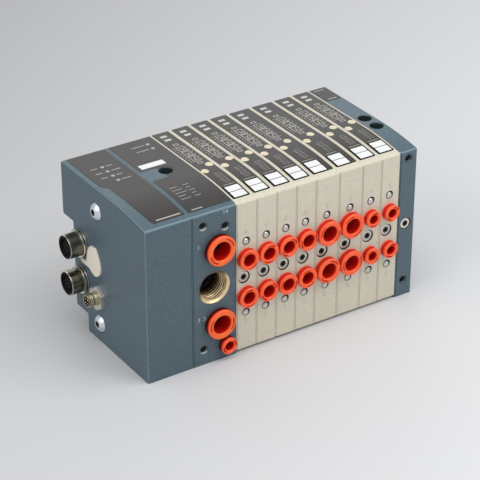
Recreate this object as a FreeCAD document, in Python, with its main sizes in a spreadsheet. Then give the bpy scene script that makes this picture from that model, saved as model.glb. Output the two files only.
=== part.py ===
"""Pneumatic valve island: network module, supply module, eight valve slices and an end plate.

The row runs along X with the network module at the low end. The tube ports face -Y, +Z is up, and the
island stands on the plane z = 0. The origin lies under the middle of the whole island.
"""
import FreeCAD, Part
import math
import os
import re

import Sketcher

Vector = FreeCAD.Vector
Rotation = FreeCAD.Rotation

# Driving dimensions, in millimetres unless the note says otherwise
SIZES = [
    ("network_width", 30.5, "network module along the row"),
    ("supply_width", 30.5, "supply module along the row"),
    ("narrow_width", 14, "pitch of a narrow valve slice"),
    ("wide_width", 17, "pitch of a wide valve slice"),
    ("end_width", 13, "end plate along the row"),
    ("row_height", 104.6, "flat top above the standing plane"),
    ("crown_drop", 3.4, "top of the front face below the flat top"),
    ("crown_length", 38, "front to the start of the flat top"),
    ("row_depth", 97.5, "front to rear at the top"),
    ("upper_shelf", 69.2, "height of the upper step in the rear"),
    ("middle_depth", 85, "front to rear between the two steps"),
    ("lower_shelf", 11.6, "height of the lower step in the rear"),
    ("foot_depth", 71, "front to rear at the base"),
    ("valve_lift", 2, "underside of a valve slice above the base"),
    ("edge_radius", 1.6, "rounding of the long edges"),
    ("rim_radius", 0.8, "rounding round the outline of the two outer faces"),
    ("seam_width", 1.2, "relief beside each seam on the front"),
    ("seam_depth", 0.3, "depth of that relief"),
    ("port_middle", 51, "height midway between upper and lower ports"),
    ("port_half", 12.8, "valve port above or below the middle"),
    ("pin_half", 24.1, "retaining pin above or below the middle"),
    ("pin_width", 4.6, "retaining pin diameter"),
    ("pin_sink", 0.3, "retaining pin behind the face"),
    ("pin_length", 3, "visible retaining pin, end to end"),
    ("pin_recess", 5.4, "recess around a retaining pin"),
    ("pin_recess_depth", 1, "depth of that recess"),
    ("tube_small", 6, "tube of the last two valves and the pilot port"),
    ("tube_medium", 8, "tube of the first four valves"),
    ("tube_large", 10, "tube of the wide valves"),
    ("tube_supply", 12, "tube of the supply and exhaust ports"),
    ("tube_fit", 0.1, "tube seat over the tube, on radius"),
    ("collar_small", 10.8, "release collar for the small tube"),
    ("collar_medium", 13.2, "release collar for the medium tube"),
    ("collar_large", 16.2, "release collar for the large tube"),
    ("collar_supply", 19.2, "release collar for the supply tube"),
    ("collar_reach", 4.4, "collar front before the face"),
    ("collar_depth", 2, "collar front to back"),
    ("ring_proud", 0.9, "fixed ring of a port before the face"),
    ("collar_chamfer", 0.5, "collar edge chamfer"),
    ("collar_slot", 0.9, "width of the two arc slots in a collar"),
    ("collar_slot_depth", 1.2, "depth of those slots"),
    ("sleeve_wall", 1.4, "collet sleeve wall"),
    ("sleeve_length", 7, "collet sleeve inside the face"),
    ("sleeve_fit", 0.05, "collet sleeve running fit, on radius"),
    ("sleeve_room", 8.6, "collet bore depth"),
    ("seat_length", 8, "tube seat behind the collet"),
    ("seat_supply", 10.5, "tube seat of the supply and exhaust ports"),
    ("supply_half", 24.8, "supply port above or below the middle"),
    ("supply_side", 3.1, "supply ports to the right of the slice middle"),
    ("pilot_side", 8.3, "pilot port to the right of the slice middle"),
    ("pilot_drop", 16.6, "pilot port below the exhaust port"),
    ("exhaust_bore", 18.6, "tapping drill of the threaded exhaust port"),
    ("exhaust_thread", 20.8, "thread of that port across its crests"),
    ("exhaust_bush", 21.4, "brass bush outside"),
    ("exhaust_length", 15, "brass bush length"),
    ("channel_small", 4, "air channel in a valve slice"),
    ("channel_large", 6, "air gallery along the row"),
    ("outlet_upper", 32, "front to the channel of the upper port"),
    ("outlet_pitch", 8, "spacing of the openings along the spool chamber, also the spool stroke"),
    ("supply_rise", 21, "supply gallery above the port middle"),
    ("exhaust_gallery", 58, "front to the exhaust gallery"),
    ("drain_side", 9, "exhaust channel to the right of the supply module's middle"),
    ("drain_drop", 7, "drop from the threaded port to the right of that middle"),
    ("drain_back", 23, "front to that drop"),
    ("spool_width", 7, "spool land diameter"),
    ("spool_stem", 4, "spool between its lands"),
    ("spool_bore", 2, "bore along the spool"),
    ("spool_length", 41, "spool end to end"),
    ("spool_land", 4.4, "length of one land"),
    ("spool_fit", 0.04, "spool running fit, on radius"),
    ("spool_gap", 0.3, "gap between the spool and the ends of its chamber"),
    ("button_width", 4.6, "manual override button diameter"),
    ("button_fit", 0.05, "button running fit, on radius"),
    ("button_proud", 0.4, "button above the top"),
    ("button_length", 7, "button top to bottom"),
    ("button_travel", 1.2, "button stroke"),
    ("button_room", 0.2, "gap left under a pressed button"),
    ("button_slot", 0.8, "screwdriver slot in a button"),
    ("button_near", 3.3, "front button from the left seam"),
    ("button_far", 10.3, "rear button from the left seam"),
    ("button_front", 38.6, "front to the front button"),
    ("button_rear", 45, "front to the rear button"),
    ("clamp_side", 5.6, "clamp screw from the left seam"),
    ("clamp_head", 6.8, "clamp screw head"),
    ("clamp_thread", 4, "clamp screw shank"),
    ("clamp_head_depth", 4, "clamp screw head length"),
    ("clamp_length", 12, "clamp screw under its head"),
    ("clamp_recess", 8.2, "recess around the clamp screw head"),
    ("clamp_sink", 0.7, "clamp screw head behind the face"),
    ("clamp_socket", 3, "clamp screw hexagon across flats"),
    ("screw_fit", 0.05, "room around a screw shank, on radius"),
    ("joint_screw", 6, "button head screw thread"),
    ("joint_head", 11, "button head diameter"),
    ("joint_proud", 2.3, "button head before the left face"),
    ("joint_dome", 6.6, "radius of the domed top of a button head"),
    ("joint_room", 0.5, "room around a button head, on radius"),
    ("joint_length", 37, "button head screw under its head"),
    ("joint_socket", 4, "button head hexagon across flats"),
    ("joint_socket_depth", 2, "depth of that hexagon"),
    ("joint_back", 55.6, "front to the button head screws"),
    ("joint_half", 38.2, "button head screw above or below the middle"),
    ("joint_recess", 0.8, "counterbore of the button head"),
    ("fixing_hole", 5.5, "vertical fixing hole at its foot"),
    ("fixing_well", 9, "well above the fixing hole"),
    ("fixing_foot", 10, "length of the fixing hole"),
    ("supply_fixing", 52.4, "front to the fixing hole in the supply module"),
    ("end_fixing", 33, "front to the first fixing hole in the end plate"),
    ("end_fixing_step", 12.2, "to the second one"),
    ("front_tap", 4.2, "tapping drill of the front threaded holes"),
    ("front_tap_mouth", 5.6, "countersink of those holes"),
    ("front_tap_depth", 10, "depth of those holes"),
    ("front_tap_left", 7.9, "left holes from the supply module's left seam"),
    ("front_tap_right", 23, "right hole from the same seam"),
    ("front_tap_high", 93.4, "upper left hole above the base"),
    ("front_tap_mid", 89.4, "upper right hole above the base"),
    ("front_tap_low", 10.4, "lower left hole above the base"),
    ("end_tap_high", 96, "upper hole of the end plate"),
    ("end_tap_low", 11, "lower hole of the end plate"),
    ("shell_wall", 2.5, "wall of the network module"),
    ("boss_width", 10, "boss around a button head screw"),
    ("data_back", 75.6, "front to the data sockets"),
    ("data_high", 59.2, "upper data socket above the base"),
    ("data_low", 34.2, "lower data socket above the base"),
    ("data_barrel", 15.2, "data socket barrel outside"),
    ("data_bore", 11, "data socket thread core"),
    ("data_reach", 11, "data socket before the left face"),
    ("data_flange", 17.6, "data socket flange"),
    ("data_flange_depth", 1.1, "thickness of the flange and of the collar before it"),
    ("data_flange_gap", 0.7, "groove between the flange and that collar"),
    ("data_shank", 13, "data socket shank through the wall"),
    ("data_shank_length", 5, "that shank behind the face"),
    ("data_well", 4.6, "rim to the insert of a data socket"),
    ("power_back", 56.1, "front to the power plug"),
    ("power_height", 30.8, "power plug above the base"),
    ("power_barrel", 8, "power plug thread"),
    ("power_bore", 6.4, "power plug inside"),
    ("power_reach", 8.6, "power plug before the left face"),
    ("power_flange", 14, "power plug hexagon across flats"),
    ("power_flange_depth", 2.6, "power plug hexagon thickness"),
    ("power_well", 5, "rim to the floor of the power plug"),
    ("power_pin", 0.8, "power plug pin diameter"),
    ("power_pin_circle", 3.4, "circle of its pins"),
    ("cap_back", 59.8, "front to the blanking cap"),
    ("cap_height", 52.8, "blanking cap above the base"),
    ("cap_width", 14.8, "blanking cap diameter"),
    ("cap_proud", 1.1, "blanking cap before the left face"),
    ("cap_lobe", 7.6, "grip at the top of the cap"),
    ("cap_lobe_back", 1.4, "grip behind the middle of the cap"),
    ("cap_lobe_rise", 6.8, "grip above the middle of the cap"),
    ("cap_strap", 2.6, "width of the strap of the cap"),
    ("cap_strap_drop", 5.4, "underside of the strap below the middle of the cap"),
    ("cap_strap_length", 15.2, "middle of the cap to the end of its strap"),
    ("board_side", 16.2, "left face to the control board"),
    ("board_thickness", 1.6, "control board"),
    ("board_front", 10, "front to the control board"),
    ("board_rear", 80, "front to its rear edge"),
    ("board_bottom", 20, "lower edge of the control board"),
    ("board_top", 82, "upper edge of the control board"),
    ("board_post", 5, "post under the control board"),
    ("chip_margin", 8, "lowest chips from the edges of the board"),
    ("chip_side", 14, "side of the processor"),
    ("chip_depth", 2, "height of the processor"),
    ("coil_side", 12, "side of the transformer"),
    ("coil_depth", 5, "height of the transformer"),
    ("header_length", 40, "pin header along the upper edge"),
    ("header_depth", 8, "height of the pin header"),
    ("header_width", 6, "width of the pin header"),
    ("guide_width", 2.2, "light guide diameter"),
    ("guide_fit", 0.1, "room around a light guide, on radius"),
    ("guide_first", 57, "front to the first light guide"),
    ("guide_step", 6.35, "light guide spacing"),
    ("guide_length", 8.6, "light guide from its bar to the top"),
    ("guide_bar_depth", 2.4, "light guide bar"),
]

# Places worked out from the driving dimensions
VALVE_KINDS = ["narrow", "narrow", "narrow", "narrow", "wide", "wide", "narrow", "narrow"]
VALVE_TUBES = ["medium", "medium", "medium", "medium", "large", "large", "small", "small"]
PLACES = {
    "valve_row": " + ".join(f"{kind}_width" for kind in VALVE_KINDS),
    "row_length": "network_width + supply_width + valve_row + end_width",
    "left_face": "(data_reach - row_length) / 2",
    "front_height": "row_height - crown_drop",
    "supply_left": "left_face + network_width",
    "valve_left": "supply_left + supply_width",
    "end_left": "valve_left + valve_row",
    "front_face": "(collar_reach - row_depth) / 2",
    "collar_gap": "collar_reach - collar_depth",
    "supply_seat_end": "sleeve_room + seat_supply",
    "supply_gallery": "outlet_upper + outlet_pitch",
    "outlet_lower": "outlet_upper + 2 * outlet_pitch",
    "spool_start": "outlet_upper - outlet_pitch - spool_gap",
    "spool_room": "spool_length + outlet_pitch + 2 * spool_gap",
    "supply_middle": "supply_left + supply_width / 2",
    "end_middle": "end_left + end_width / 2",
    "gallery_high": "port_middle + supply_rise",
    "gallery_low": "port_middle - supply_half",
    "pilot_height": "port_middle - supply_half - pilot_drop",
    "guide_middle": "left_face + board_side + board_thickness / 2",
    "guide_bar_height": "row_height - guide_length",
}
# Angles in degrees: how far a collar's slot reaches, and how each collet happens to be turned
SLOT_REACH = 60
SUPPLY_TURN, EXHAUST_TURN, PILOT_TURN = 110, 160, 130
UPPER_TURN, LOWER_TURN = 35, 55
ALIASES = {alias for alias, value, note in SIZES}
ALONG = {
    "x": Rotation(Vector(0, 1, 0), 90),
    "y": Rotation(Vector(1, 0, 0), -90),
    "z": Rotation(),
}

document = FreeCAD.newDocument("valve_island")
sheet = document.addObject("Spreadsheet::Sheet", "Sizes")
for row, (alias, value, note) in enumerate(SIZES, 1):
    sheet.set(f"A{row}", alias)
    sheet.set(f"B{row}", str(value))
    sheet.set(f"C{row}", note)
    sheet.setAlias(f"B{row}", alias)
document.recompute()


def formula(text):
    """Writes an expression of sizes and places out in the sheet's own cells."""
    def expand(match):
        word = match.group(0)
        if word in PLACES:
            return "(" + formula(PLACES[word]) + ")"
        return "Sizes." + word if word in ALIASES else word
    return re.sub(r"[a-z][a-z_0-9]*", expand, str(text))


def bind(thing, **settings):
    """Binds properties of an object to expressions of the sheet."""
    for name, text in settings.items():
        thing.setExpression(name, formula(text))
    return thing


def place(thing, x, y, z, turn=None):
    """Puts an object at a place whose coordinates are expressions."""
    if turn is not None:
        thing.Placement = FreeCAD.Placement(Vector(), turn)
    for axis, text in zip("xyz", (x, y, z)):
        thing.setExpression(f"Placement.Base.{axis}", formula(text))
    return thing


def depth(text):
    """The Y place of something that lies this far behind the front face."""
    return f"front_face + ({text})"


def block(name, x, y, z, length, width, height):
    """A box from its low corner; y is counted from the front face."""
    box = bind(document.addObject("Part::Box", name), Length=length, Width=width, Height=height)
    return place(box, x, depth(y), z)


def rod(name, axis, x, y, z, diameter, length):
    """A cylinder that starts at a place and runs along an axis; y is counted from the front face."""
    cylinder = bind(document.addObject("Part::Cylinder", name), Radius=f"({diameter}) / 2", Height=length)
    return place(cylinder, x, depth(y), z, ALONG[axis])


def cone(name, axis, x, y, z, first, last, length):
    """A cone between two diameters."""
    frustum = bind(document.addObject("Part::Cone", name), Radius1=f"({first}) / 2",
                   Radius2=f"({last}) / 2", Height=length)
    return place(frustum, x, depth(y), z, ALONG[axis])


def hexagon(name, axis, x, y, z, flats, length):
    """A hexagonal prism, its size given across the flats."""
    prism = bind(document.addObject("Part::Prism", name), Circumradius=f"({flats}) / sqrt(3)", Height=length)
    prism.Polygon = 6
    return place(prism, x, depth(y), z, ALONG[axis])


def dome(name, x, y, z, width, radius, rise):
    """The flat-topped cap of a ball that stands on a face turned to -X, with its width at that face."""
    ball = bind(document.addObject("Part::Sphere", name + "_ball"), Radius=radius)
    place(ball, f"{x} + sqrt(({radius}) ^ 2 - ({width}) ^ 2 / 4)", depth(y), z, Rotation())
    cap = document.addObject("Part::MultiCommon", name)
    cap.Shapes = [ball, rod(name + "_slab", "x", f"{x} - ({rise})", y, z, width, rise)]
    return cap


def fuse(name, pieces):
    union = document.addObject("Part::MultiFuse", name)
    union.Shapes = pieces
    return union


def cut(name, base, tools):
    """Takes the tools away from the base."""
    remainder = document.addObject("Part::Cut", name)
    remainder.Base = base
    remainder.Tool = tools[0] if len(tools) == 1 else fuse(name + "_tools", tools)
    return remainder


def group(name, pieces):
    """Separate like solids that share one node."""
    compound = document.addObject("Part::Compound", name)
    compound.Links = pieces
    return compound


def origin_plane(body, role):
    return next(item for item in body.Origin.OriginFeatures if item.Role == role)


def rounding(body, name, base, edges, radius):
    """Rounds some edges of a body's last feature."""
    fillet = body.newObject("PartDesign::Fillet", name)
    fillet.Base = (base, edges)
    bind(fillet, Radius=radius)
    document.recompute()
    body.Tip = fillet
    return fillet


def side_profile(name, left, width, outer_face=""):
    """A module's body: the side outline of the row, padded over the module's width.

    The outline goes up the front, over the crowned edge and the flat top, and down the stepped rear. A
    module at the end of the row has the rim of its outer face rounded as well.
    """
    body = document.addObject("PartDesign::Body", name)
    sketch = body.newObject("Sketcher::SketchObject", name + "_outline")
    sketch.AttachmentSupport = [(origin_plane(body, "YZ_Plane"), "")]
    sketch.MapMode = "FlatFace"
    size = {alias: float(sheet.get(alias)) for alias in ALIASES}
    size["front_height"] = size["row_height"] - size["crown_drop"]
    corners = [
        (0, size["front_height"]),
        (size["crown_length"], size["row_height"]),
        (size["row_depth"], size["row_height"]),
        (size["row_depth"], size["upper_shelf"]),
        (size["middle_depth"], size["upper_shelf"]),
        (size["middle_depth"], size["lower_shelf"]),
        (size["foot_depth"], size["lower_shelf"]),
        (size["foot_depth"], 0),
        (0, 0),
    ]
    points = [Vector(y, z, 0) for y, z in corners]
    radius = (size["crown_length"] ** 2 + size["crown_drop"] ** 2) / (2 * size["crown_drop"])
    centre = Vector(size["crown_length"], size["row_height"] - radius, 0)
    start = math.atan2(points[0].y - centre.y, points[0].x - centre.x)
    circle = Part.Circle(centre, Vector(0, 0, 1), radius)
    crown = sketch.addGeometry(Part.ArcOfCircle(circle, math.pi / 2, start))
    lines = [sketch.addGeometry(Part.LineSegment(points[i], points[(i + 1) % 9])) for i in range(1, 9)]
    constrain = sketch.addConstraint
    constrain(Sketcher.Constraint("Coincident", crown, 1, lines[0], 1))
    for before, after in zip(lines, lines[1:]):
        constrain(Sketcher.Constraint("Coincident", before, 2, after, 1))
    constrain(Sketcher.Constraint("Coincident", lines[-1], 2, crown, 2))
    for index, line in enumerate(lines):
        constrain(Sketcher.Constraint("Vertical" if index % 2 else "Horizontal", line))
    constrain(Sketcher.Constraint("Coincident", lines[-1], 1, -1, 1))
    driven = [
        ("DistanceX", lines[0], 1, "crown_length"),
        ("DistanceY", lines[0], 1, "row_height"),
        ("DistanceX", lines[1], 1, "row_depth"),
        ("DistanceY", lines[2], 1, "upper_shelf"),
        ("DistanceX", lines[3], 1, "middle_depth"),
        ("DistanceY", lines[4], 1, "lower_shelf"),
        ("DistanceX", lines[5], 1, "foot_depth"),
        ("DistanceY", crown, 2, "front_height"),
    ]
    for kind, piece, end, alias in driven:
        index = constrain(Sketcher.Constraint(kind, -1, 1, piece, end, size[alias]))
        sketch.setExpression(f"Constraints[{index}]", formula(alias))
    index = constrain(Sketcher.Constraint("Radius", crown, radius))
    sketch.setExpression(f"Constraints[{index}]",
                         formula("(crown_length ^ 2 + crown_drop ^ 2) / (2 * crown_drop)"))
    pad = body.newObject("PartDesign::Pad", name + "_pad")
    pad.Profile = sketch
    bind(pad, Length=width)
    document.recompute()
    rounded = [(0, size["front_height"]), (size["row_depth"], size["row_height"]),
               (size["row_depth"], size["upper_shelf"]), (size["middle_depth"], size["lower_shelf"])]
    edges = []
    for number, edge in enumerate(pad.Shape.Edges, 1):
        first, last = edge.Vertexes[0].Point, edge.Vertexes[-1].Point
        if abs(first.x - last.x) > size["seam_width"] and any(
                math.hypot(first.y - y, first.z - z) < 0.01 for y, z in rounded):
            edges.append(f"Edge{number}")
    last = rounding(body, name + "_rounding", pad, edges, "edge_radius")
    if outer_face:
        outside = {"left": last.Shape.BoundBox.XMin, "right": last.Shape.BoundBox.XMax}[outer_face]
        rim = [f"Edge{number}" for number, edge in enumerate(last.Shape.Edges, 1)
               if all(abs(vertex.X - outside) < 0.01 for vertex in edge.Vertexes)
               and any(vertex.Z > 0.01 for vertex in edge.Vertexes)]
        rounding(body, name + "_rim", last, rim, "rim_radius")
    return place(body, left, "front_face", "0")


def port_bores(name, x, z, tube, channel="", end=""):
    """The stepped bore of a push-in fitting: collet bore, tube seat and the air channel behind it."""
    sleeve = f"tube_{tube} + 2 * tube_fit + 2 * sleeve_wall + 2 * sleeve_fit"
    seat = "seat_supply" if tube == "supply" else "seat_length"
    bores = [
        rod(name + "_collet_bore", "y", x, "-ring_proud", z, sleeve, "sleeve_room + ring_proud"),
        rod(name + "_seat", "y", x, "sleeve_room", z, f"tube_{tube} + 2 * tube_fit", seat),
    ]
    if channel:
        bores.append(rod(name + "_channel", "y", x, f"sleeve_room + {seat}", z, channel,
                         f"{end} - sleeve_room - {seat}"))
    return bores


def port_ring(name, x, z, tube):
    """The fixed ring of a push-in fitting, which a pressed collar comes near."""
    return rod(name + "_ring", "y", x, "-ring_proud", z, f"collar_{tube}", "ring_proud + seam_depth")


def collet(name, x, z, tube, turn):
    """A release collet: a collar that is pressed towards the face and a sleeve that grips the tube."""
    inside = f"tube_{tube} + 2 * tube_fit"
    outside = f"{inside} + 2 * sleeve_wall"
    collar = f"collar_{tube}"
    straight = "collar_depth - collar_chamfer"
    edge = cone(name + "_edge", "y", x, "-collar_reach", z, f"{collar} - 2 * collar_chamfer", collar,
                "collar_chamfer")
    rim = rod(name + "_rim", "y", x, "collar_chamfer - collar_reach", z, collar, straight)
    sleeve = rod(name + "_sleeve", "y", x, "-collar_gap", z, outside, "collar_gap + sleeve_length")
    bore = rod(name + "_bore", "y", x, "-collar_reach", z, inside, "collar_reach + sleeve_length")
    mouth = cone(name + "_mouth", "y", x, "-collar_reach", z, f"{inside} + 2 * collar_chamfer", inside,
                 "collar_chamfer")
    middle = f"({collar} + {inside}) / 2"
    slots = []
    for side in (0, 180):
        outer = bind(document.addObject("Part::Cylinder", f"{name}_slot{side}"),
                     Radius=f"({middle} + collar_slot) / 2", Height="collar_slot_depth")
        outer.Angle = SLOT_REACH
        inner = bind(document.addObject("Part::Cylinder", f"{name}_slot_core{side}"),
                     Radius=f"({middle} - collar_slot) / 2", Height="collar_slot_depth")
        for ring in (outer, inner):
            spin = ALONG["y"].multiply(Rotation(Vector(0, 0, 1), turn + side))
            place(ring, x, depth("-collar_reach"), z, spin)
        slots.append(cut(f"{name}_arc{side}", outer, [inner]))
    return cut(name, fuse(name + "_solid", [edge, rim, sleeve]), [bore, mouth] + slots)


def clamp_bores(name, x):
    """The recess, head bore and shank hole of a clamp screw."""
    return [
        rod(name + "_recess", "y", x, "0", "port_middle", "clamp_recess", "clamp_sink + clamp_head_depth"),
        rod(name + "_shank_hole", "y", x, "0", "port_middle", "clamp_thread + 2 * screw_fit",
            "clamp_sink + clamp_head_depth + clamp_length + screw_fit"),
    ]


def clamp_screw(name, x):
    """A socket head clamp screw, its head a little behind the front face."""
    head = rod(name + "_head", "y", x, "clamp_sink", "port_middle", "clamp_head", "clamp_head_depth")
    shank = rod(name + "_shank", "y", x, "clamp_sink + clamp_head_depth", "port_middle", "clamp_thread",
                "clamp_length")
    socket = hexagon(name + "_socket", "y", x, "clamp_sink", "port_middle", "clamp_socket",
                     "clamp_head_depth / 2")
    return cut(name, fuse(name + "_solid", [head, shank]), [socket])


def threaded_bores(name, x, z):
    """A tapped hole in a front face, with its countersink."""
    return [
        rod(name + "_drill", "y", x, "0", z, "front_tap", "front_tap_depth"),
        cone(name + "_mouth", "y", x, "0", z, "front_tap_mouth", "front_tap",
             "(front_tap_mouth - front_tap) / 2"),
    ]


def fixing_bores(name, x, y):
    """A vertical fixing hole with a deep well above it for the screw's head."""
    return [
        rod(name + "_hole", "z", x, y, "0", "fixing_hole", "row_height"),
        rod(name + "_well", "z", x, y, "fixing_foot", "fixing_well", "row_height"),
    ]


def valve(number, left, kind, tube):
    """A valve slice: body, spool chamber, channels, port bores, button bores and retaining pins."""
    name = f"valve_{number}"
    width = f"{kind}_width"
    middle = f"{left} + {width} / 2"
    upper, lower = "port_middle + port_half", "port_middle - port_half"
    body = fuse(name + "_solid", [
        side_profile(name + "_block", left, width),
        port_ring(name + "_upper", middle, upper, tube),
        port_ring(name + "_lower", middle, lower, tube),
    ])
    tools = [
        block(name + "_lift", left, "-row_depth", "0", width, "3 * row_depth", "valve_lift"),
        block(name + "_seam", left, "0", "0", "seam_width", "seam_depth", "row_height"),
        rod(name + "_spool_chamber", "y", middle, "spool_start", "port_middle",
            "spool_width + 2 * spool_fit", "spool_room"),
        rod(name + "_upper_drop", "z", middle, "outlet_upper", "port_middle", "channel_small", "port_half"),
        rod(name + "_lower_drop", "z", middle, "outlet_lower", lower, "channel_small", "port_half"),
        rod(name + "_supply_gallery", "x", left, "supply_gallery", "gallery_high", "channel_large", width),
        rod(name + "_supply_drop", "z", middle, "supply_gallery", "port_middle", "channel_small",
            "supply_rise"),
        rod(name + "_exhaust_gallery", "x", left, "exhaust_gallery", "gallery_low", "channel_large", width),
        rod(name + "_exhaust_drop", "z", middle, "exhaust_gallery", "gallery_low", "channel_small",
            "supply_half"),
    ]
    tools += port_bores(name + "_upper", middle, upper, tube, "channel_small", "outlet_upper")
    tools += port_bores(name + "_lower", middle, lower, tube, "channel_small", "outlet_lower")
    tools += clamp_bores(name + "_clamp", f"{left} + clamp_side")
    room = "button_length - button_proud + button_travel + button_room"
    for spot, x, y in (("front", "button_near", "button_front"), ("rear", "button_far", "button_rear")):
        tools.append(rod(f"{name}_{spot}_button_bore", "z", f"{left} + {x}", y, f"row_height - ({room})",
                         "button_width + 2 * button_fit", "row_height"))
    pin_heights = {"upper": "port_middle + pin_half", "lower": "port_middle - pin_half"}
    for side, height in pin_heights.items():
        tools.append(rod(f"{name}_pin_recess_{side}", "y", middle, "0", height, "pin_recess",
                         "pin_recess_depth"))
    hollow = cut(name + "_hollow", body, tools)
    pins = [rod(f"{name}_pin_{side}", "y", middle, "pin_sink", height, "pin_width", "pin_length")
            for side, height in pin_heights.items()]
    return fuse(name, [hollow] + pins)


def spool(number, middle):
    """A hollow spool: two lands switch the ports, a ring guides the tail, the bore leads to the exhaust."""
    name = f"spool_{number}"
    front = "outlet_upper"
    stem = rod(name + "_stem", "y", middle, front, "port_middle", "spool_stem", "spool_length")
    lands = []
    for place_name, start in (("near", "outlet_upper + outlet_pitch / 2 - spool_land / 2"),
                              ("far", "outlet_upper + 2.5 * outlet_pitch - spool_land / 2"),
                              ("tail", "outlet_upper + spool_length - spool_land")):
        lands.append(rod(f"{name}_{place_name}_land", "y", middle, start, "port_middle", "spool_width",
                         "spool_land"))
    bore = rod(name + "_bore", "y", middle, front, "port_middle", "spool_bore", "spool_length - spool_land")
    cross = rod(name + "_cross_hole", "z", middle, "outlet_upper + 3.5 * outlet_pitch",
                "port_middle - spool_stem", "spool_bore", "2 * spool_stem")
    return cut(name, fuse(name + "_solid", [stem] + lands), [bore, cross])


def button(name, x, y):
    """A manual override button with a screwdriver slot in its top."""
    top = "row_height + button_proud"
    stem = rod(name + "_stem", "z", x, y, f"{top} - button_length", "button_width", "button_length")
    slot = block(name + "_slot", f"{x} - button_width / 2", f"{y} - button_slot / 2",
                 f"{top} - button_slot / 2", "button_width", "button_slot", "button_slot")
    return cut(name, stem, [slot])


def cap_pieces(name):
    """The blanking cap on the left face: a disc with a grip and a strap."""
    outer, thickness = "left_face - cap_proud", "cap_proud + shell_wall"
    return [
        rod(name + "_cap", "x", outer, "cap_back", "cap_height", "cap_width", thickness),
        rod(name + "_cap_grip", "x", outer, "cap_back + cap_lobe_back", "cap_height + cap_lobe_rise",
            "cap_lobe", thickness),
        block(name + "_cap_strap", outer, "cap_back", "cap_height - cap_strap_drop", thickness,
              "cap_strap_length", "cap_strap"),
    ]


def network_housing():
    """The network module's housing: a shell that is open towards the supply module."""
    name = "network_housing"
    body = side_profile(name + "_block", "left_face", "network_width", "left")
    inside = "left_face + shell_wall"
    wide = "network_width - shell_wall"
    hollow = fuse(name + "_hollow", [
        block(name + "_room", inside, "shell_wall", "lower_shelf + shell_wall", wide,
              "middle_depth - 2 * shell_wall", "front_height - lower_shelf - 2 * shell_wall - edge_radius"),
        block(name + "_foot_room", inside, "shell_wall", "shell_wall", wide, "foot_depth - 2 * shell_wall",
              "lower_shelf"),
        block(name + "_rear_room", inside, "shell_wall + crown_length", "upper_shelf + shell_wall", wide,
              "row_depth - crown_length - 2 * shell_wall", "row_height - upper_shelf - 2 * shell_wall"),
    ])
    heights = {"upper": "port_middle + joint_half", "lower": "port_middle - joint_half"}
    bosses = [rod(f"{name}_boss_{side}", "x", "left_face", "joint_back", z, "boss_width", "network_width")
              for side, z in heights.items()]
    posts = [rod(f"{name}_post_{y}_{z}", "x", "left_face", f"board_{y} {back} board_post",
                 f"board_{z} {down} board_post", "board_post", "board_side")
             for y, back in (("front", "+"), ("rear", "-")) for z, down in (("bottom", "+"), ("top", "-"))]
    shell = fuse(name + "_solid", [cut(name + "_shell", body, [hollow])] + bosses + posts + cap_pieces(name))
    tools = []
    for side, z in heights.items():
        tools.append(rod(f"{name}_screw_{side}", "x", "left_face", "joint_back", z,
                         "joint_screw + 2 * screw_fit", "network_width"))
        tools.append(rod(f"{name}_head_{side}", "x", "left_face", "joint_back", z,
                         "joint_head + 2 * joint_room", "joint_recess"))
    for side in ("high", "low"):
        tools.append(rod(f"{name}_data_{side}", "x", "left_face", "data_back", f"data_{side}",
                         "data_shank + 2 * screw_fit", "shell_wall"))
    tools.append(rod(name + "_power", "x", "left_face", "power_back", "power_height",
                     "power_barrel + 2 * screw_fit", "shell_wall"))
    for index in range(4):
        tools.append(rod(f"{name}_guide_{index}", "z", "guide_middle", f"guide_first + {index} * guide_step",
                         "guide_bar_height", "guide_width + 2 * guide_fit", "row_height"))
    return cut(name, shell, tools)


def data_sockets():
    """Two round data sockets: a threaded barrel with a flange, a shank in the wall and a coded insert."""
    sockets = []
    for side in ("high", "low"):
        name = f"data_socket_{side}"
        height = f"data_{side}"
        barrel = rod(name + "_barrel", "x", "left_face - data_reach", "data_back", height, "data_barrel",
                     "data_reach")
        rims = [rod(f"{name}_rim{index}", "x", start, "data_back", height, "data_flange",
                    "data_flange_depth")
                for index, start in enumerate(("left_face - data_flange_depth",
                                               "left_face - 2 * data_flange_depth - data_flange_gap"))]
        shank = rod(name + "_shank", "x", "left_face", "data_back", height, "data_shank",
                    "data_shank_length")
        bore = rod(name + "_bore", "x", "left_face - data_reach", "data_back", height, "data_bore",
                   "data_well")
        sockets.append(cut(name, fuse(name + "_solid", [barrel, shank] + rims), [bore]))
    return group("data_sockets", sockets)


def power_plug():
    """The small round power plug: hexagon, threaded barrel and four contact pins."""
    name = "power_plug"
    start = "left_face - power_reach"
    barrel = rod(name + "_barrel", "x", start, "power_back", "power_height", "power_barrel",
                 "power_reach + data_shank_length")
    flange = hexagon(name + "_hexagon", "x", "left_face - power_flange_depth", "power_back",
                     "power_height", "power_flange", "power_flange_depth")
    bore = rod(name + "_bore", "x", start, "power_back", "power_height", "power_bore", "power_well")
    hollow = cut(name + "_hollow", fuse(name + "_solid", [barrel, flange]), [bore])
    pins = []
    for index, (across, up) in enumerate(((1, 1), (-1, 1), (1, -1), (-1, -1))):
        pins.append(rod(f"{name}_pin{index}", "x", f"{start} + 1",
                        f"power_back + {across} * power_pin_circle / 2 / sqrt(2)",
                        f"power_height + {up} * power_pin_circle / 2 / sqrt(2)", "power_pin", "power_well"))
    return fuse(name, [hollow] + pins)


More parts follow.
